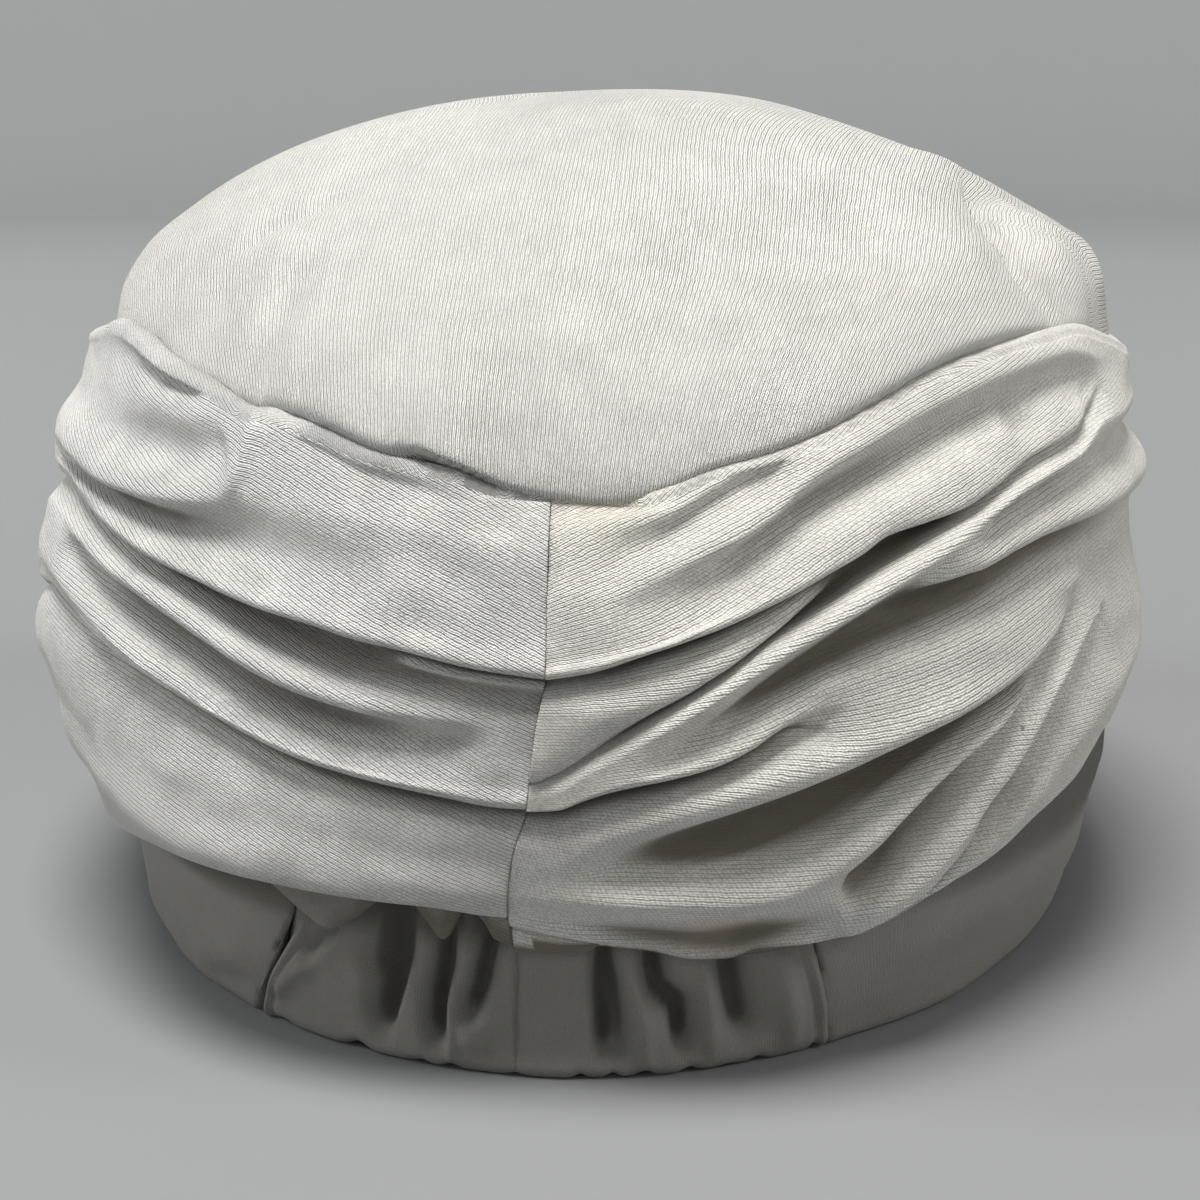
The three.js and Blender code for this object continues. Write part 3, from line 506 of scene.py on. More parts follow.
# Down the outer side of the wrap: heights and stand-outs of every row, for all columns at once.
def pleatRows(look, away):
    side, fade = look["side"], cloth["foldFade"]
    kinds, lines, shares = [], [], []
    for _, kind, *line in look["folds"]:
        turns, heights, stands = np.array(line, float).T
        z = curveAt(turns, heights, away)
        for _ in range(cloth["leanRounds"]):
            turn = away + side * seamLean(z, away)
            z = curveAt(turns, heights, turn)
        share = np.ones(len(away))
        if turns[-1] < cloth["wayRound"]:
            share = 1 - smooth(turn, turns[-1] - fade, turns[-1])
        if turns[0] > cloth["fromSeam"]:
            share = share * smooth(turn, turns[0], turns[0] + fade)
        kinds.append(kind)
        lines.append((z, curveAt(turns, stands, turn)))
        shares.append(share)
    drawn = np.array(lines)
    shares = np.array(shares)[:, None]
    settled = drawn.copy()
    # a fold that isn't there rests evenly between its neighbours
    for _ in range(cloth["restRounds"]):
        between = (settled[:-2] + settled[2:]) / 2
        settled[1:-1] = shares[1:-1] * drawn[1:-1] + (1 - shares[1:-1]) * between
    z, out = settled[:, 0], settled[:, 1]
    for k in range(1, len(z)):
        z[k] = np.minimum(z[k], z[k - 1] - cloth["leastDrop"])
    # the way the cloth runs through each fold
    slope = np.diff(out, axis=0) / np.diff(z, axis=0)
    lean = np.zeros(z.shape)
    lean[1:-1] = slopeBetween(slope[:-1], slope[1:])
    knots = []
    for k, kind in enumerate(kinds):
        share = shares[k, 0]
        soft = heading(-np.ones(len(away)), -lean[k])
        toward = lambda *way: heading(*[a * (1 - share) + b * share for a, b in zip(soft, way)])
        if kind == "lip":
            r = cloth["lipRound"]
            rest = r * (1 - share) / 2
            knots.append((z[k] + r * share + rest, out[k] + lean[k] * rest, toward(-1, 0), toward(-1, 0)))
            knots.append((z[k] - rest, out[k] - r * share - lean[k] * rest, toward(0, -1), toward(0, -1)))
        elif kind == "crease":
            knots.append((z[k], out[k], toward(*cloth["creaseIn"]), toward(*cloth["creaseOut"])))
        elif k == 0:
            knots.append((z[k] - cloth["edgeRise"], out[k], soft, soft))
        elif kind == "edge":
            knots.append((z[k] + cloth["hemDrop"], out[k], soft, soft))
        else:
            knots.append((z[k], out[k], soft, soft))
    for k in range(1, len(knots)):
        higher = knots[k - 1][0]
        knots[k] = (np.minimum(knots[k][0], higher - cloth["leastStep"]),) + knots[k][1:]
    heights, stands = [], []
    for (z0, out0, _, leave), (z1, out1, arrive, _) in zip(knots[:-1], knots[1:]):
        chord = np.hypot(z1 - z0, out1 - out0)
        share, least = cloth["pull"]
        pull = np.minimum(chord, share * np.abs(z1 - z0) + least)
        steps = np.ceil(np.percentile(chord, cloth["rowsBy"]) / cloth["rowLength"])
        steps = int(np.clip(steps, *cloth["rowsPerFold"]))
        for t in np.arange(steps) / steps:
            rise = t * t * (3 - 2 * t)
            start, end = pull * t * (1 - t) ** 2, -pull * t * t * (1 - t)
            heights.append(z0 * (1 - rise) + z1 * rise + start * leave[0] + end * arrive[0])
            stands.append(out0 * (1 - rise) + out1 * rise + start * leave[1] + end * arrive[1])
    heights.append(knots[-1][0])
    stands.append(knots[-1][1])
    return np.stack(heights, -1), np.stack(stands, -1)


# Values over a grid whose steps come as near as they can to the wanted ones, by weighted least squares:
# "down" are the wanted steps from row to row and "across" the ones from column to column.
def fitSteps(down, across, firmDown, firmAcross):
    columns, rows = down.shape[0], across.shape[1]
    stiff = lambda count: 2 - 2 * np.cos(np.arange(2 * count) * math.pi / count)
    stiffness = firmAcross.mean() * stiff(columns)[:, None] + firmDown.mean() * stiff(rows)[None, :]
    stiffness[0, 0] = 1

    def gather(fall, aside):
        total = np.zeros((columns, rows))
        total[:, 1:] += firmDown * fall
        total[:, :-1] -= firmDown * fall
        total[1:] += firmAcross * aside
        total[:-1] -= firmAcross * aside
        return total

    def ease(error):
        mirrored = np.block([[error, error[:, ::-1]], [error[::-1], error[::-1, ::-1]]])
        return np.fft.ifft2(np.fft.fft2(mirrored) / stiffness).real[:columns, :rows]

    values = np.zeros((columns, rows))
    error = gather(down, across)
    move = ease(error)
    size = (error * move).sum()
    for _ in range(cloth["fitRounds"]):
        pushed = gather(np.diff(move, axis=1), np.diff(move, axis=0))
        share = size / (move * pushed).sum()
        values += share * move
        error -= share * pushed
        eased = ease(error)
        before, size = size, (error * eased).sum()
        move = eased + move * size / before
    return values


# How deep each place of the wrap lies below the ridges near it, from 0 to 1: the share of painted shade that
# its colour takes.
def foldDepth(heights, stands):
    apart = heights[:, None, :] - heights[:, :, None]
    lost = np.where(apart > 0, apart * cloth["shadeAbove"], -apart * cloth["shadeBelow"])
    cover = (stands[:, None, :] - lost).max(-1) - stands
    return smooth(cover, cloth["firstShade"], cloth["fullShade"])


# A half-round roll of cloth from one row of points to another, past "rise" above their middle.
def rollRows(first, last, rise):
    steps = np.linspace(0, math.pi, cloth["rollRows"] + 2)[1:-1]
    middle = (first + last) / 2
    across = (first - last) / 2
    rows = [middle + across * math.cos(a) + np.array([0, 0, rise]) * math.sin(a) for a in steps]
    return np.stack(rows, 1)


def wrapTurns():
    seam = np.array(cloth["seamTurns"]) + cloth["seamGap"]
    near, far = np.arange(*cloth["nearTurns"]), np.arange(*cloth["farTurns"])
    return np.concatenate([seam, near, far, 180 - seam[::-1]])


def makeWrap(name, look, seed):
    away = wrapTurns()
    turn = away[:, None] * look["side"]
    heights, stands = pleatRows(look, away)
    lean = seamLean(heights, away[:, None])
    arc = (away[:, None] + look["side"] * lean) * cloth["degree"]
    places = np.stack([arc, heights], -1)
    stands = stands + swellRelief(places, look["swells"], cloth["degree"])
    stands = stands + strokeRelief(places, look["strokes"], cloth["degree"])
    grown = smooth(heights, heights[:, -1:], heights[:, -1:] + cloth["hemFlat"])
    grown = cloth["hemWrinkle"] + (1 - cloth["hemWrinkle"]) * grown
    stands = stands + wrinkleRelief(places, cloth["wrinkles"], seed) * grown
    seamGap = np.minimum(away, 180 - away)[:, None] * cloth["degree"]
    turnIn = np.clip(1 - seamGap / cloth["seamRound"], 0, 1)
    stands = stands - cloth["seamRound"] * (1 - np.sqrt(1 - turnIn**2 * cloth["seamTurn"]))
    outer = wallPoint(turn + lean, heights, stands)
    share = np.linspace(0, 1, cloth["insideRows"])[None, :]
    inside = heights[:, -1:] * (1 - share) + heights[:, :1] * share
    inner = capPoint(turn + seamLean(inside, away[:, None]), inside, cloth["layerGap"])
    hemRoll = rollRows(outer[:, -1], inner[:, 0], -cloth["hemDrop"])
    topRoll = rollRows(inner[:, -1], outer[:, 0], cloth["edgeRise"])
    points = np.concatenate([outer, hemRoll, inner, topRoll, outer[:, :1]], 1)
    # the wales run at their own slope over the folded cloth, and carry on round the hem to the inside
    slope = np.arctan(tableAt(look["wales"], heights) * tableAt(cloth["waleFade"], away)[:, None])
    fall = np.linalg.norm(np.diff(outer, axis=1), axis=-1)
    run = [midway(np.gradient(part, axis=1)) for part in (heights, stands)]
    sink = (np.diff(heights, axis=0) * run[0] + np.diff(stands, axis=0) * run[1]) / np.hypot(*run)
    aside = np.linalg.norm(np.diff(wallPoint(turn[:, 0], cloth["measuredAt"]), axis=0), axis=-1)[:, None]
    mean, tilt = midway(slope), midway(slope.T).T
    firm = np.clip(midway(aside) / fall[1:-1], *cloth["fitLimits"])
    firm = np.concatenate([firm[:1], firm, firm[-1:]])
    width = midway(fall)
    width = np.concatenate([width[:, :1], midway(width.T).T, width[:, -1:]], 1)
    width = np.clip(width / aside, *cloth["fitLimits"])
    wale = fitSteps(fall * np.cos(tilt), aside * np.sin(mean) + sink * np.cos(mean), firm, width)
    course = fitSteps(-fall * np.sin(tilt), aside * np.cos(mean) - sink * np.sin(mean), firm, width)
    onward = lengthAlong(points[:, outer.shape[1] - 1 :])[:, 1:]
    wale = np.concatenate([wale, wale[:, -1:] + onward * np.cos(slope[:, -1:])], 1)
    course = np.concatenate([course, course[:, -1:] - onward * np.sin(slope[:, -1:])], 1)
    # Painted shade: places deep between the folds and the layer tucked behind the hem are painted darker, and
    # the hem's roll and the inside take the shade of that layer's edge.
    fold = np.zeros(points.shape[:2])
    tucked = smooth(-stands, *cloth["tucked"]) * (heights < look["tuckedBelow"]) * cloth["tuckedShade"]
    fold[:, : outer.shape[1]] = np.maximum(foldDepth(heights, stands), tucked)
    fold[:, outer.shape[1] : -topRoll.shape[1] - 1] = tucked[:, -1:]
    return clothPiece(name, points, np.stack([course, wale], -1), fold)


# The headband and the gathered elastic below the wrap.
rim = {
    "bandHeight": 38,
    "wall": 2,
    "arch": 2.5,
    "restsTo": 45,
    "elasticFrom": -36,
    "elasticTo": 31,
    "seamGap": 0.04,
    "bandStep": 1.0,      # degrees from column to column
    "elasticColumns": 330,
    "crowding": 1.25,
    "leanTo": 24,         # height over which the seams lean
    "welt": ((1.1, 0.6, 0.4), (2.6, 0.7, -0.36)),      # the sewn edges and the groove: place, width, height
    "seamDip": (0.24, 0.8),       # depth and width of the dip at the seam itself
    "edgeRound": 1.1,
    "edgeIn": 0.95,
    "hemRoll": (1.6, 1.3, 0.35),      # place, width, height
    "gatherDepth": 0.75,
    "edgeShare": 0.45,    # share of the gathers that the rim's edge takes, and the height where it's full
    "edgeTo": 9,
    "puffsEnd": (17, 22),
    "gathersEnd": (33, 37),
    "wrinkles": ((16, 8, 0.5), (5, 4, 0.12)),
    "wrinklesEnd": (24, 30),
    "seamFlat": 3,        # degrees beside a seam without wrinkles
    "insideRelief": 0.5,
    "shadeDepth": (0.2, 3.5),      # depth of a gather and height on the rim over which it takes painted shade
    "shadeHeight": (12, 24),
    "backShade": 0.58,
    "backTurns": (45, 120),
    "seams": ((31, -5.2, 9), (-36, 9.5, 16)),      # turn, lean in degrees, reach
    "degree": 1.7,        # millimetres of rim for one degree near the back
    "gathers": (
        ("ridge", -3.1, 1.8, 4, (-22.6, 22), (-24, 19), (-26, 16), (-28.5, 12)),
        ("ridge", 1.4, 1.5, 4, (-22, 19), (-27, 12.5), (-30, 9.5), (-34, 4)),
        ("ridge", -7.1, 3, 6, (-14, 34), (-15.4, 24), (-16.2, 19), (-17.4, 13), (-18.8, 8), (-20, 1)),
        ("ridge", -3.4, 2.6, 4, (-17, 30), (-18, 20), (-19, 15), (-20, 11)),
        ("ridge", 1.7, 1.4, 5, (-14, 17), (-15.8, 12), (-17.4, 7), (-18.6, 0)),
        ("ridge", -6.5, 2.1, 6, (-9.8, 34), (-10.6, 22), (-11.4, 16), (-12.5, 11), (-12.9, 7), (-12.6, 1)),
        ("ridge", 1.5, 1.3, 5, (-9.4, 17), (-10.8, 11), (-11.3, 6), (-11.2, 0)),
        ("ridge", -6.1, 2, 6, (-4.6, 34), (-5.6, 23), (-6.6, 18), (-7.6, 13), (-8.8, 9.5), (-10.2, 7)),
        ("ridge", 1.5, 2.2, 4, (-5.4, 14), (-6.6, 10), (-8.6, 7), (-9.8, 2)),
        ("crease", 1.3, 0.5, 3, (-2.6, 34), (-2.9, 20), (-3.3, 13), (-3.6, 8), (-3.8, 0)),
        ("ridge", -6.5, 1.9, 6, (6, 34), (6.1, 18), (6.1, 14), (6.4, 9), (6.6, 1)),
        ("ridge", -3.7, 1.3, 5, (6.6, 19), (7.3, 14), (8, 9), (8.6, 1)),
        ("ridge", 1.2, 1.4, 4, (8.8, 20), (9.6, 13), (10.8, 7), (11.2, 0)),
        ("ridge", -6.1, 2, 6, (10.6, 34), (11, 17), (11.8, 13.4), (14, 10.6), (14.6, 6), (15, 1)),
        ("ridge", 1.4, 1.6, 4, (15.4, 20), (16.4, 14), (17.4, 8), (18, 1)),
        ("ridge", -5.4, 2.6, 6, (17.6, 34), (18.6, 17), (19.6, 12), (20.8, 7), (21, 2)),
        ("ridge", 2, 2.2, 5, (22.6, 20), (24.4, 12), (26, 6), (27, 0)),
    ),
    "scallops": (
        (-33, 1.2, 0.5), (-22.6, 1.4, 1.2), (-14.8, 1, 0.6), (-11.4, 1, 0.7), (-4, 0.8, 0.4), (4, 0.7, 0.6),
        (7.6, 0.7, 0.7), (11, 1, 0.8), (15.8, 0.9, 0.7), (20, 1.4, 0.3), (23.2, 0.9, 0.7), (29.6, 0.7, 0.6),
    ),
    "waves": (
        ("ridge", 1, 3, 6, (-50, 2), (-42, 6), (-36, 11)),
        ("ridge", -0.7, 2, 5, (-46, 2), (-39, 4), (-36, 6)),
        ("ridge", 0.7, 3.5, 6, (36, 12), (46, 15), (60, 14)),
        ("ridge", -0.6, 4, 6, (36, 6), (50, 8), (66, 9)),
    ),
}


def rimLift(turn):
    turned = np.degrees(np.arccos(np.clip(np.abs(np.cos(np.radians(turn))), 0, 1)))
    share = np.clip((turned - rim["restsTo"]) / (90 - rim["restsTo"]), 0, 1)
    return rim["arch"] * np.sin(np.pi / 2 * share) ** 2


# A strip of the rim. The strokes move both its sides, and the rows crowd towards the edge.
def makeBand(name, turns, rows, seed):
    share = np.linspace(0, 1, rows) ** rim["crowding"]
    lowest = rimLift(turns) + sum(up * hump(turns, turn, reach) for turn, reach, up in rim["scallops"])
    heights = lowest[:, None] + (rim["bandHeight"] - lowest[:, None]) * share[None, :]
    turn = np.broadcast_to(turns[:, None], heights.shape)
    signed = signedTurn(turn)
    # the seams between elastic and band lean in towards the centre back
    for seam, lean, reach in rim["seams"]:
        turn = turn + lean * smooth(heights, 0, rim["leanTo"]) * hump(signed, seam, reach)
    signed = signedTurn(turn)
    places = np.stack([signed * rim["degree"], heights], -1)
    pull = strokeRelief(places, rim["gathers"] + rim["waves"], rim["degree"]) * rim["gatherDepth"]
    # puffs stay below the wrap, and the rim itself is drawn in less than the cloth above it
    drawnIn = rim["edgeShare"] + (1 - rim["edgeShare"]) * smooth(heights, 0, rim["edgeTo"])
    pull = np.where(pull > 0, pull * (1 - smooth(heights, *rim["puffsEnd"])), pull * drawnIn)
    pull = pull * (1 - smooth(heights, *rim["gathersEnd"]))
    relief = wrinkleRelief(places, rim["wrinkles"], seed) * (1 - smooth(heights, *rim["wrinklesEnd"]))
    relief = relief * smooth(np.minimum(turn - turns[0], turns[-1] - turn), 0, rim["seamFlat"])
    # the sewn edges stand up along each seam, with a groove beside them
    beside = np.minimum(turns - turns[0], turns[-1] - turns)[:, None] * rim["degree"]
    pull = pull + sum(high * hump(beside, at, wide) for at, wide, high in rim["welt"])
    deep, wide = rim["seamDip"]
    pull = pull - deep * (1 - smooth(beside, 0, wide))
    above = heights - lowest[:, None]
    edge = np.clip(1 - above / rim["edgeRound"], 0, 1)
    rounded = -rim["edgeIn"] * (1 - np.sqrt(1 - edge**2))
    at, wide, high = rim["hemRoll"]
    outer = capPoint(turn, heights, pull + rounded + relief + high * hump(above, at, wide))
    inner = capPoint(turn, heights, pull - rim["wall"] - rounded + relief * rim["insideRelief"])
    points = np.concatenate([outer[:, ::-1], inner, outer[:, -1:]], 1)
    down = lengthAlong(points)
    weave = np.stack([np.broadcast_to(turns[:, None] * rim["degree"], down.shape), down], -1)
    # Painted shade: the rim darkens in its gathers, high up under the wrap's hem and most at the back.
    fold = np.zeros(points.shape[:2])
    shaded = np.maximum(smooth(-pull, *rim["shadeDepth"]), smooth(heights, *rim["shadeHeight"]))
    # the back of the rim, under the deepest folds, takes the most painted shade
    shaded = np.maximum(shaded, rim["backShade"] * (1 - smooth(np.abs(signed), *rim["backTurns"])))
    fold[:, : outer.shape[1]] = shaded[:, ::-1]
    return clothPiece(name, points, weave, fold)


# The crown, from the top of the headband up. Its swells and strokes are seen from above: x, y.
crown = {
    "wall": 2,
    "gap": 0.3,
    "ringStep": 1.4,
    "turnStep": 1.0,
    "grain": 3,           # degrees that the knit is turned from the front-back line
    "middle": 50,         # height of the point that the cloth swells away from
    "profileSteps": 1200,
    "crowding": (16, 79, 90),      # millimetres' worth of extra rings at the lapping edge, and where
    "lumps": (28, 0.5),   # size and height
    "lumpSeed": 5,
    "dentsFrom": (92, 106),       # heights between which the dents come in
    "poleRise": 0.03,
    "swells": (
        (64, -52, 24, 7, 90, -2), (74, -34, 18, 9, 90, 1.6), (40, -76, 26, 10, 90, -1.2),
        (-58, -62, 16, 12, 90, -1.8), (-30, -84, 14, 12, 90, -0.8), (18, -30, 40, 24, 90, 0.8),
        (53, -19, 8, 7, 60, 1.8), (75, -22, 8, 6, 0, 1.6), (-46, -69, 10, 6, 90, -1.6),
    ),
    "strokes": (
        ("crease", 4.2, 2.6, 10, (57, -14), (59, -22), (61, -30), (63, -37), (64.5, -43),
         (65.5, -47), (67, -56)),
        ("ridge", 1.6, 5, 10, (62, -16), (66, -26), (69, -36), (71, -46)),
        ("ridge", -2.2, 7, 12, (40, -44), (41.6, -51.4), (44, -59.4), (47, -70)),
        ("ridge", -1.8, 3.5, 8, (-37, -62), (-36.5, -73), (-35.7, -79.4), (-35, -88)),
        ("crease", 1.1, 1.8, 8, (-28, -55), (-33, -54.4), (-38.4, -54.1), (-43, -54.5),
         (-47, -55.3), (-51, -58)),
        ("ridge", -0.8, 4, 10, (-14, -66), (-10.8, -81), (-8, -94)),
        ("ridge", -0.7, 4, 10, (20, -62), (19, -74), (17.6, -88)),
    ),
    # the lower edge that laps over the wrap at the centre back: (turn, height)
    "brim": ((-13, 87.6), (-9, 86.2), (-6, 85), (-3, 83.6), (1.4, 82.4), (5, 81.6), (8, 81.2), (11, 81.6)),
    "brimEase": 4,
    "lap": 1,
    "behind": 0.5,        # gap left between the crown and the back of the wrap's top edge
    # how the crown comes out, by height over the wrap's edge: behind it, lapping over it, and back in
    "comesOut": (-2.8, -0.6),
    "lapsFrom": (-0.5, 0.2),
    "goesIn": (0.6, 24),
    # share of the gap to the wrap's edge that the crown fills: (turn, share)
    "swell": ((-62, 0), (-46, 0.15), (-30, 0.5), (-24, 0.85), (-14, 1), (30, 1), (46, 0.8), (60, 0.4),
              (74, 0)),
}


def makeCrown():
    turns = np.arange(0, 360 + crown["turnStep"] / 2, crown["turnStep"])
    middle = np.array([0, 0, crown["middle"]])
    # rings evenly spaced along the profile of the centre back, crowded at the lapping edge
    fine = np.linspace(rim["bandHeight"] + crown["gap"], capShape["z"][-1], crown["profileSteps"])
    extra, low, high = crown["crowding"]
    length = lengthAlong(capPoint(0, fine)) + extra * smooth(fine, low, high)
    ringZ = np.interp(np.linspace(0, length[-1], int(length[-1] / crown["ringStep"])), length, fine)
    outer = capPoint(turns[:, None], ringZ[None, :])
    dent = swellRelief(outer[..., :2], crown["swells"]) + strokeRelief(outer[..., :2], crown["strokes"])
    size, high = crown["lumps"]
    dent = dent + lumps(outer, (size, size, size), crown["lumpSeed"]) * high
    dent = dent * smooth(outer[..., 2], *crown["dentsFrom"])
    signed = signedTurn(turns)
    away = np.abs(signed)
    crests = [np.array(look["folds"][0][2:], float).T for look in (wrapLeft, wrapRight)]
    onCrest = lambda k: np.where(signed < 0, *[curveAt(line[0], line[k], away) for line in crests])
    edge, proud = onCrest(1), onCrest(2)
    gap = np.linalg.norm(wallPoint(signed, edge, proud) - capPoint(signed, edge), axis=-1)
    first, last, ease = crown["brim"][0][0], crown["brim"][-1][0], crown["brimEase"]
    laps = smooth(signed, first, first + ease) * (1 - smooth(signed, last - ease, last))
    edge = edge * (1 - laps) + tableAt(crown["brim"], signed) * laps
    # elsewhere the crown goes down close behind that edge
    reach = tableAt(crown["swell"], signed) * (away < 90)
    swell = (gap - crown["behind"]) * (1 - laps) * reach + (gap + crown["lap"]) * laps
    above = ringZ[None, :] - edge[:, None]
    laps = laps[:, None]
    comesOut = smooth(above, *crown["comesOut"]) * (1 - laps) + smooth(above, *crown["lapsFrom"]) * laps
    dent = dent + swell[:, None] * comesOut * (1 - smooth(above, *crown["goesIn"]))
    distance = np.linalg.norm(outer - middle, axis=-1, keepdims=True)
    outer = outer + (outer - middle) / distance * dent[..., None]
    pole = np.broadcast_to(outer[:, -1].mean(0) + (0, 0, crown["poleRise"]), (len(turns), 3))
    outer = np.concatenate([outer, pole[:, None]], 1)
    distance = np.linalg.norm(outer - middle, axis=-1, keepdims=True)
    inner = middle + (outer - middle) * (1 - crown["wall"] / distance)
    inner[:, 0, 2] = outer[:, 0, 2]
    points = np.concatenate([inner[:, ::-1], outer], 1)
    upward = lengthAlong(points[:, ::-1])[:, ::-1]
    angle = np.radians(turns)[:, None]
    flat = np.stack([upward * np.sin(angle), -upward * np.cos(angle)], -1)
    turned = math.radians(crown["grain"])
    flat = flat @ np.array([[math.cos(turned), math.sin(turned)], [-math.sin(turned), math.cos(turned)]])
    return clothPiece("crown_cloth", points, flat[..., ::-1], np.zeros(points.shape[:2]))


# A node socket that sums can be written with.
class Wire:
    def __init__(self, tree, socket=None):
        self.tree = tree
        self.socket = socket

    def make(self, kind, settings, sockets, output=0):
        node = self.tree.nodes.new(kind)
        for key, value in settings.items():
            setattr(node, key, value)
        for key, value in sockets.items():
            if isinstance(value, Wire):
                self.tree.links.new(value.socket, node.inputs[key])
            else:
                node.inputs[key].default_value = value
        return Wire(self.tree, node.outputs[output] if node.outputs else None)

    def math(self, operation, *values):
        return self.make("ShaderNodeMath", {"operation": operation}, dict(enumerate(values)))

    def __add__(self, other):
        return self.math("ADD", self, other)

    def __radd__(self, other):
        return self.math("ADD", other, self)

    def __sub__(self, other):
        return self.math("SUBTRACT", self, other)

    def __rsub__(self, other):
        return self.math("SUBTRACT", other, self)

    def __mul__(self, other):
        return self.math("MULTIPLY", self, other)

    def __rmul__(self, other):
        return self.math("MULTIPLY", other, self)

    def __pow__(self, other):
        return self.math("POWER", self, other)


def blend(start, share, first, second):
    sockets = {"Factor": share, "A": first, "B": second}
    return start.make("ShaderNodeMix", {"data_type": "RGBA", "clamp_factor": True}, sockets, 2)


# An empty material and the wire that its nodes are made from.
def newMaterial(name):
    material = bpy.data.materials.new(name)
    material.use_nodes = True
    material.node_tree.nodes.clear()
    return material, Wire(material.node_tree)


def surface(start, sockets):
    shader = start.make("ShaderNodeBsdfPrincipled", {}, sockets)
    start.make("ShaderNodeOutputMaterial", {}, {"Surface": shader})


# What every knitted cloth shares.
yarn = {
    "drift": (28, 2),     # clouds of noise: lumps to the metre, detail
    "waver": (900, 1),
    "jitter": (700, 1),
    "fuzz": (2600, 3),
    "pills": (520, 2),
    "wear": (170, 2),
    "tone": (24, 3),
    "drifts": 1.6,        # how far columns of stitches stray, in columns, and rows, in rows
    "wavers": 0.5,
    "jitters": 0.7,
    "slope": 0.85,        # rows passed by a slanting stitch from one column to the next
    "legTurn": 0.82,      # a leg's form is this share of half a sine wave
    "legRound": 1.6,
    "legLevel": 0.62,     # middle height of the legs and of the slant
    "slantLevel": 0.5,
    "fadeFrom": -0.085,   # metres towards the front between which the knit fades at the sides
    "fadeTo": -0.04,
    "clear": 0.9,         # how clearly the knit shows where it's neither worn nor fresh
    "foldBlur": 0.5,      # share of the knit that is lost deep in the folds
    "toneShares": (0.55, 0.25, 0.2),      # of the tone cloud, the pills and the fuzz
    "toneFrom": 0.3,
    "toneGain": 1.6,
    "frizz": 1.3,         # how much the fuzz breaks up the grooves
    "spotShares": (0.6, 0.8),      # even, and by the pills
    "surface": {"Roughness": 0.92, "Sheen Weight": 0.12, "Sheen Roughness": 0.5, "Specular IOR Level": 0.15},
}


def jersey(name, look):
    material, start = newMaterial(name)
    weave = start.make("ShaderNodeUVMap", {"uv_map": "weave"}, {})
    place = start.make("ShaderNodeTexCoord", {}, {}, "Object")

    def cloud(kind):
        scale, detail = yarn[kind]
        sockets = {"Vector": place, "Scale": scale, "Detail": detail}
        return start.make("ShaderNodeTexNoise", {}, sockets, "Fac")

    def part(vector, axis):
        return start.make("ShaderNodeSeparateXYZ", {}, {0: vector}, axis)

    along, across = part(weave, 0), part(weave, 1)
    turned = math.radians(look["grain"])
    run = along * math.cos(turned) - across * math.sin(turned)
    rise = along * math.sin(turned) + across * math.cos(turned)
    # columns of slanting stitches, each with two legs; "aside" is 0 between columns and 1 in the middle
    wale = rise * (weaveSpan / look["wale"]) + cloud("drift") * yarn["drifts"]
    wale = wale + cloud("waver") * yarn["wavers"]
    course = run * (weaveSpan / look["course"]) + cloud("jitter") * yarn["jitters"]
    aside = wale.math("PINGPONG", wale, 0.5) * 2
    legs = aside.math("SINE", aside * (yarn["legTurn"] * math.pi)) ** yarn["legRound"]
    bead = course.math("SINE", (course - wale * yarn["slope"]) * math.tau) * 0.5 + 0.5
    fuzz, pills = cloud("fuzz"), cloud("pills")
    fold = start.make("ShaderNodeAttribute", {"attribute_name": "fold"}, {}, "Fac")
    fading = {"Value": part(place, 1), "From Min": yarn["fadeFrom"], "From Max": yarn["fadeTo"]}
    fading.update({"To Min": 1.0, "To Max": look["sideKnit"]})
    faded = start.make("ShaderNodeMapRange", {"interpolation_type": "SMOOTHSTEP"}, fading)
    patches = (cloud("wear") - 0.5) * look["patch"] + yarn["clear"]
    clear = patches * (1 - fold * yarn["foldBlur"]) * faded
    level = look["legs"] * yarn["legLevel"] + look["slant"] * yarn["slantLevel"]
    knit = (legs * look["legs"] + bead * look["slant"] - level) * clear + 0.5
    height = knit * look["knit"] + fuzz * look["fuzz"] + pills * look["pills"]
    relief = {"Height": height, "Distance": look["relief"] * mm, "Strength": 1.0}
    normal = start.make("ShaderNodeBump", {}, relief)
    byCloud, byPills, byFuzz = yarn["toneShares"]
    tone = cloud("tone") * byCloud + pills * byPills + fuzz * byFuzz
    base = blend(start, (tone - yarn["toneFrom"]) * yarn["toneGain"], look["shade"], look["colour"])
    # Painted shade: the grooves between the stitches take the deep colour.
    grooves = (look["grooveShadeLevel"] - knit + (fuzz - 0.5) * yarn["frizz"]) * look["groove"]
    base = blend(start, grooves, base, look["deep"])
    # Painted shade: by its fold share a place takes the dark shadow colour.
    base = blend(start, fold * look["dim"], base, look["shadow"])
    even, byPills = yarn["spotShares"]
    # Spots of colour: real stain marks and specks, and a tan painted shade in the recess under the crown's
    # lapping edge.
    for colour, strength, reach, point in look.get("stainsAndShade", ()):
        gap = start.make("ShaderNodeVectorMath", {"operation": "DISTANCE"}, {0: place, 1: point}, "Value")
        share = (1 - gap * (1 / (reach * mm))) * (even + pills * byPills) * strength
        base = blend(start, share, base, colour)
    surface(start, {"Base Color": base, "Normal": normal, **yarn["surface"]})
    return material


def onWall(turn, z, out=1.5):
    return wallPoint(turn, z, out) * mm + np.array(seat)


pink = (0.62, 0.42, 0.38, 1)
# The tan colour is painted shade, for the recess under the crown's lapping edge; pink and speck are real
# stain colours.
tanShade = (0.62, 0.53, 0.38, 1)
speck = (0.10, 0.09, 0.08, 1)
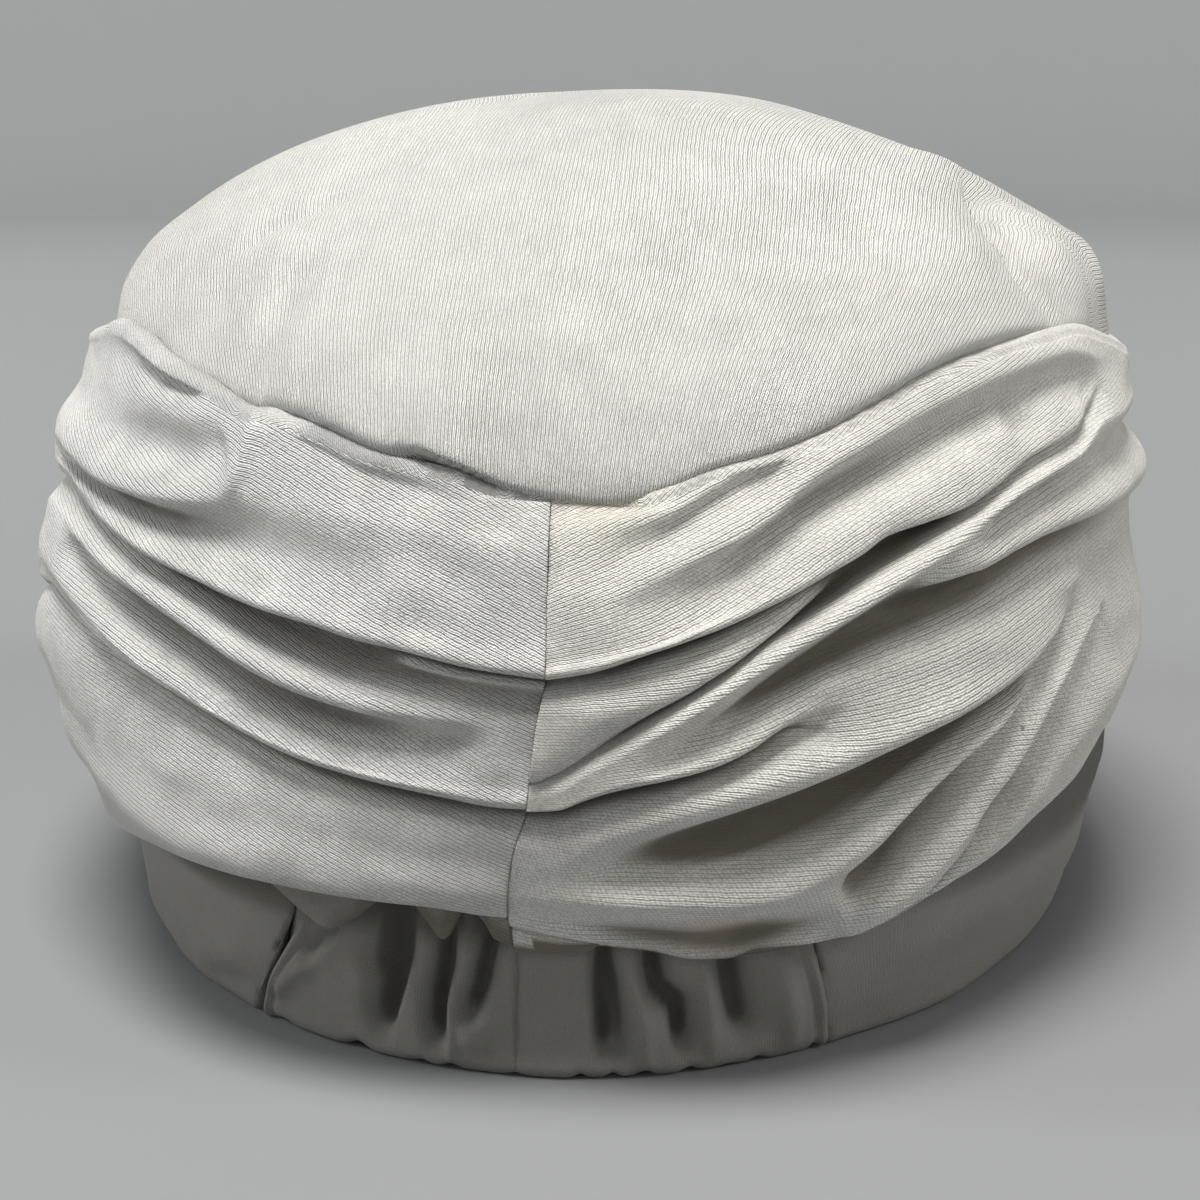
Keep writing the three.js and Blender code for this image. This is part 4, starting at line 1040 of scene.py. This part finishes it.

# "wale" and "course" are the width of a column of stitches and the height of a row, in millimetres;
# "legs" and "slant" how strongly their two forms show, and "knit", "fuzz" and "pills" how much of the
# relief is knit, fuzz or pills; "patch" is how unevenly the knit wears. "grooveShadeLevel" and "groove"
# set where and how strongly the grooves take the deep colour, a painted shade between the stitches, and
# "dim" how much of the painted "shadow" colour a place takes by its "fold" share; "shade" is the colour
# that the tone cloud mixes in at random. "grain" is the knit's turn in degrees, "relief" its depth in
# millimetres and "sideKnit" the share of it left at the sides. "stainsAndShade" are colour, strength,
# reach in millimetres and place.
wrapKnit = {
    "grain": 0, "course": 0.54, "patch": 1.3, "knit": 0.8, "fuzz": 0.7, "pills": 0.5, "sideKnit": 0.4,
    "shadow": (0.14, 0.13, 0.1, 1),
}
finishes = {
    # The crown's colours are lighter than the wraps', painted light on the top of the cap.
    "crown": {
        "grain": 0, "wale": 0.65, "course": 0.54, "legs": 1.2, "slant": 0.12, "relief": 0.4, "groove": 2.2,
        "grooveShadeLevel": 0.66, "patch": 0.6, "knit": 0.8, "fuzz": 0.6, "pills": 0.5, "dim": 0, "sideKnit": 1,
        "colour": (0.9, 0.895, 0.86, 1), "shade": (0.87, 0.865, 0.825, 1), "deep": (0.55, 0.535, 0.48, 1),
        "shadow": (0.4, 0.38, 0.33, 1),
    },
    # The two wraps are the same jersey: the right one's colours are a little darker and warmer than the left
    # one's, painted light and shade for how each side is lit.
    "wrapLeft": {
        **wrapKnit, "wale": 0.6, "legs": 1, "slant": 0.3, "relief": 0.34, "groove": 2, "grooveShadeLevel": 0.74,
        "dim": 0.8,
        "colour": (0.8, 0.795, 0.775, 1), "shade": (0.76, 0.755, 0.735, 1), "deep": (0.44, 0.43, 0.4, 1),
        "stainsAndShade": ((speck, 1.4, 0.6, onWall(-3.4, 82.3, -1)),),
    },
    "wrapRight": {
        **wrapKnit, "wale": 0.63, "legs": 0.7, "slant": 0.26, "relief": 0.28, "groove": 1.8, "grooveShadeLevel": 0.78,
        "dim": 1,
        "colour": (0.77, 0.76, 0.725, 1), "shade": (0.73, 0.72, 0.68, 1), "deep": (0.43, 0.415, 0.37, 1),
        "stainsAndShade": (
            (pink, 0.35, 6, onWall(15.5, 24.3)), (pink, 0.2, 5, onWall(20, 43.5)),
            # the tan spot is painted shade in the recess under the crown's lapping edge; the pink marks and
            # the specks are the cloth's own
            (tanShade, 0.35, 9, onWall(6, 82, -3)), (speck, 1.2, 0.5, onWall(12.9, 45.1)),
            (speck, 1, 0.5, onWall(45.6, 46.4)),
        ),
    },
    # The band is the same ivory jersey as the rest, painted much darker: painted shade under the wrap that
    # overhangs it.
    "band": {
        "grain": 90, "wale": 0.5, "course": 0.42, "legs": 0.6, "slant": 0.2, "relief": 0.2, "groove": 0.9,
        "grooveShadeLevel": 0.8, "patch": 1, "knit": 0.6, "fuzz": 0.9, "pills": 0.5, "dim": 0.95, "sideKnit": 1,
        "colour": (0.44, 0.43, 0.405, 1), "shade": (0.39, 0.38, 0.36, 1), "deep": (0.27, 0.262, 0.245, 1),
        "shadow": (0.09, 0.086, 0.075, 1),
    },
}


def dress(piece, finish, slot, *nodes):
    piece.data.materials.append(finish)
    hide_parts(*nodes)


crownCloth = makeCrown()
dress(crownCloth, jersey("crown knit", finishes["crown"]), "crown_jersey", "crown")
leftCloth = makeWrap("wrap_left_cloth", wrapLeft, seed=11)
dress(leftCloth, jersey("left wrap knit", finishes["wrapLeft"]), "wrap_jersey", "wrap_left")
rightCloth = makeWrap("wrap_right_cloth", wrapRight, seed=23)
dress(rightCloth, jersey("right wrap knit", finishes["wrapRight"]), "wrap_jersey", "wrap_right")

bandTurns = np.arange(rim["elasticTo"] + rim["seamGap"], rim["elasticFrom"] + 360, rim["bandStep"])
shadedBandFinish = jersey("band knit with painted shade", finishes["band"])
bandCloth = makeBand("headband_cloth", bandTurns, rows=40, seed=31)
dress(bandCloth, shadedBandFinish, "band_jersey", "headband")
elasticTurns = np.linspace(rim["elasticFrom"] + rim["seamGap"], rim["elasticTo"], rim["elasticColumns"])
elasticCloth = makeBand("elastic_cloth", elasticTurns, rows=48, seed=37)
dress(elasticCloth, shadedBandFinish, "elastic_jersey", "elastic_back")

# Floor, light and camera.
studio = {
    "floorRadius": 1.5,
    "wallHeight": 1.4,
    "bend": 0.6,
    "bendSteps": 12,
    "turnSteps": 96,
    "roughness": 0.9,
    # The floor is painted darker near the cap, paling outwards: a painted shade round it, which also throws
    # less light up under it.
    "shadedNearColour": (0.24, 0.244, 0.248, 1),
    "farColour": (0.37, 0.378, 0.383, 1),
    "nearTo": 0.18,       # metres from the middle over which the floor pales out of its painted shade
    "farFrom": 1.1,
    "world": (0.82, 0.90, 1.0, 1),
    "worldStrength": 0.02,
    # round lights: place, height of the point they are turned to, size, power, colour
    "lights": {
        "key": ((-0.15, -0.66, 2.2), 0.07, 1.0, 70, (1, 0.99, 0.97)),
        "left": ((-2.1, -0.5, 1.15), 0.07, 0.9, 60, (0.98, 0.99, 1)),
        "front": ((0, -2.3, 0.95), 0.05, 1.2, 60, (1, 1, 1)),
        "right": ((2.0, -0.45, 1.2), 0.07, 0.9, 22, (1, 0.99, 0.96)),
    },
}


def makeFloor():
    bm = bmesh.new()
    radius, bend = studio["floorRadius"], studio["bend"]
    profile = [(0, 0), (radius, 0)]
    for k in range(1, studio["bendSteps"] + 1):
        a = math.radians(90 * k / studio["bendSteps"])
        profile.append((radius + bend * math.sin(a), bend * (1 - math.cos(a))))
    profile.append((radius + bend, studio["wallHeight"]))
    line = [bm.verts.new((x, 0, z)) for x, z in profile]
    edges = [bm.edges.new(pair) for pair in zip(line[:-1], line[1:])]
    turn = {"cent": (0, 0, 0), "axis": (0, 0, 1), "angle": math.tau, "steps": studio["turnSteps"]}
    bmesh.ops.spin(bm, geom=line + edges, use_merge=True, **turn)
    bmesh.ops.remove_doubles(bm, verts=bm.verts, dist=mergeGap)
    bmesh.ops.recalc_face_normals(bm, faces=bm.faces)
    mesh = bpy.data.meshes.new("floor")
    bm.to_mesh(mesh)
    bm.free()
    mesh.shade_smooth()
    floor = addObject("floor", mesh)
    material, start = newMaterial("pale floor shaded near the cap")
    place = start.make("ShaderNodeTexCoord", {}, {}, "Object")
    away = start.make("ShaderNodeVectorMath", {"operation": "LENGTH"}, {0: place}, "Value")
    # Painted shade: darker near the cap, paling towards the far colour.
    share = (away - studio["nearTo"]) * (1 / (studio["farFrom"] - studio["nearTo"]))
    colour = blend(start, share, studio["shadedNearColour"], studio["farColour"])
    surface(start, {"Base Color": colour, "Roughness": studio["roughness"]})
    mesh.materials.append(material)


def aim(thing, direction):
    thing.rotation_euler = direction.to_track_quat("-Z", "Y").to_euler()


makeFloor()
for name, (place, aimHeight, size, power, colour) in studio["lights"].items():
    data = bpy.data.lights.new(name, "AREA")
    data.shape = "DISK"
    data.size = size
    data.energy = power
    data.color = colour
    lamp = addObject(name, data)
    lamp.location = place
    aim(lamp, Vector((0, 0, aimHeight)) - Vector(place))

world = bpy.data.worlds.new("room")
bpy.context.scene.world = world
world.use_nodes = True
world.node_tree.nodes["Background"].inputs["Color"].default_value = studio["world"]
world.node_tree.nodes["Background"].inputs["Strength"].default_value = studio["worldStrength"]
bpy.context.scene.view_settings.view_transform = "Standard"

camera = {"azimuth": 4.5, "elevation": 13.5, "distance": 406, "target": (0, 0, 45), "lens": 72, "sensor": 36}
azimuth, elevation = math.radians(camera["azimuth"]), math.radians(camera["elevation"])
level = math.cos(elevation)
back = Vector((math.sin(azimuth) * level, -math.cos(azimuth) * level, math.sin(elevation)))
eye = addObject("camera", bpy.data.cameras.new("camera"))
eye.location = seat + (Vector(camera["target"]) + back * camera["distance"]) * mm
aim(eye, -back)
eye.data.lens = camera["lens"]
eye.data.sensor_width = camera["sensor"]
eye.data.dof.use_dof = False
bpy.context.scene.camera = eye
print("studio:", len(studio["lights"]), "lights, floor and camera")
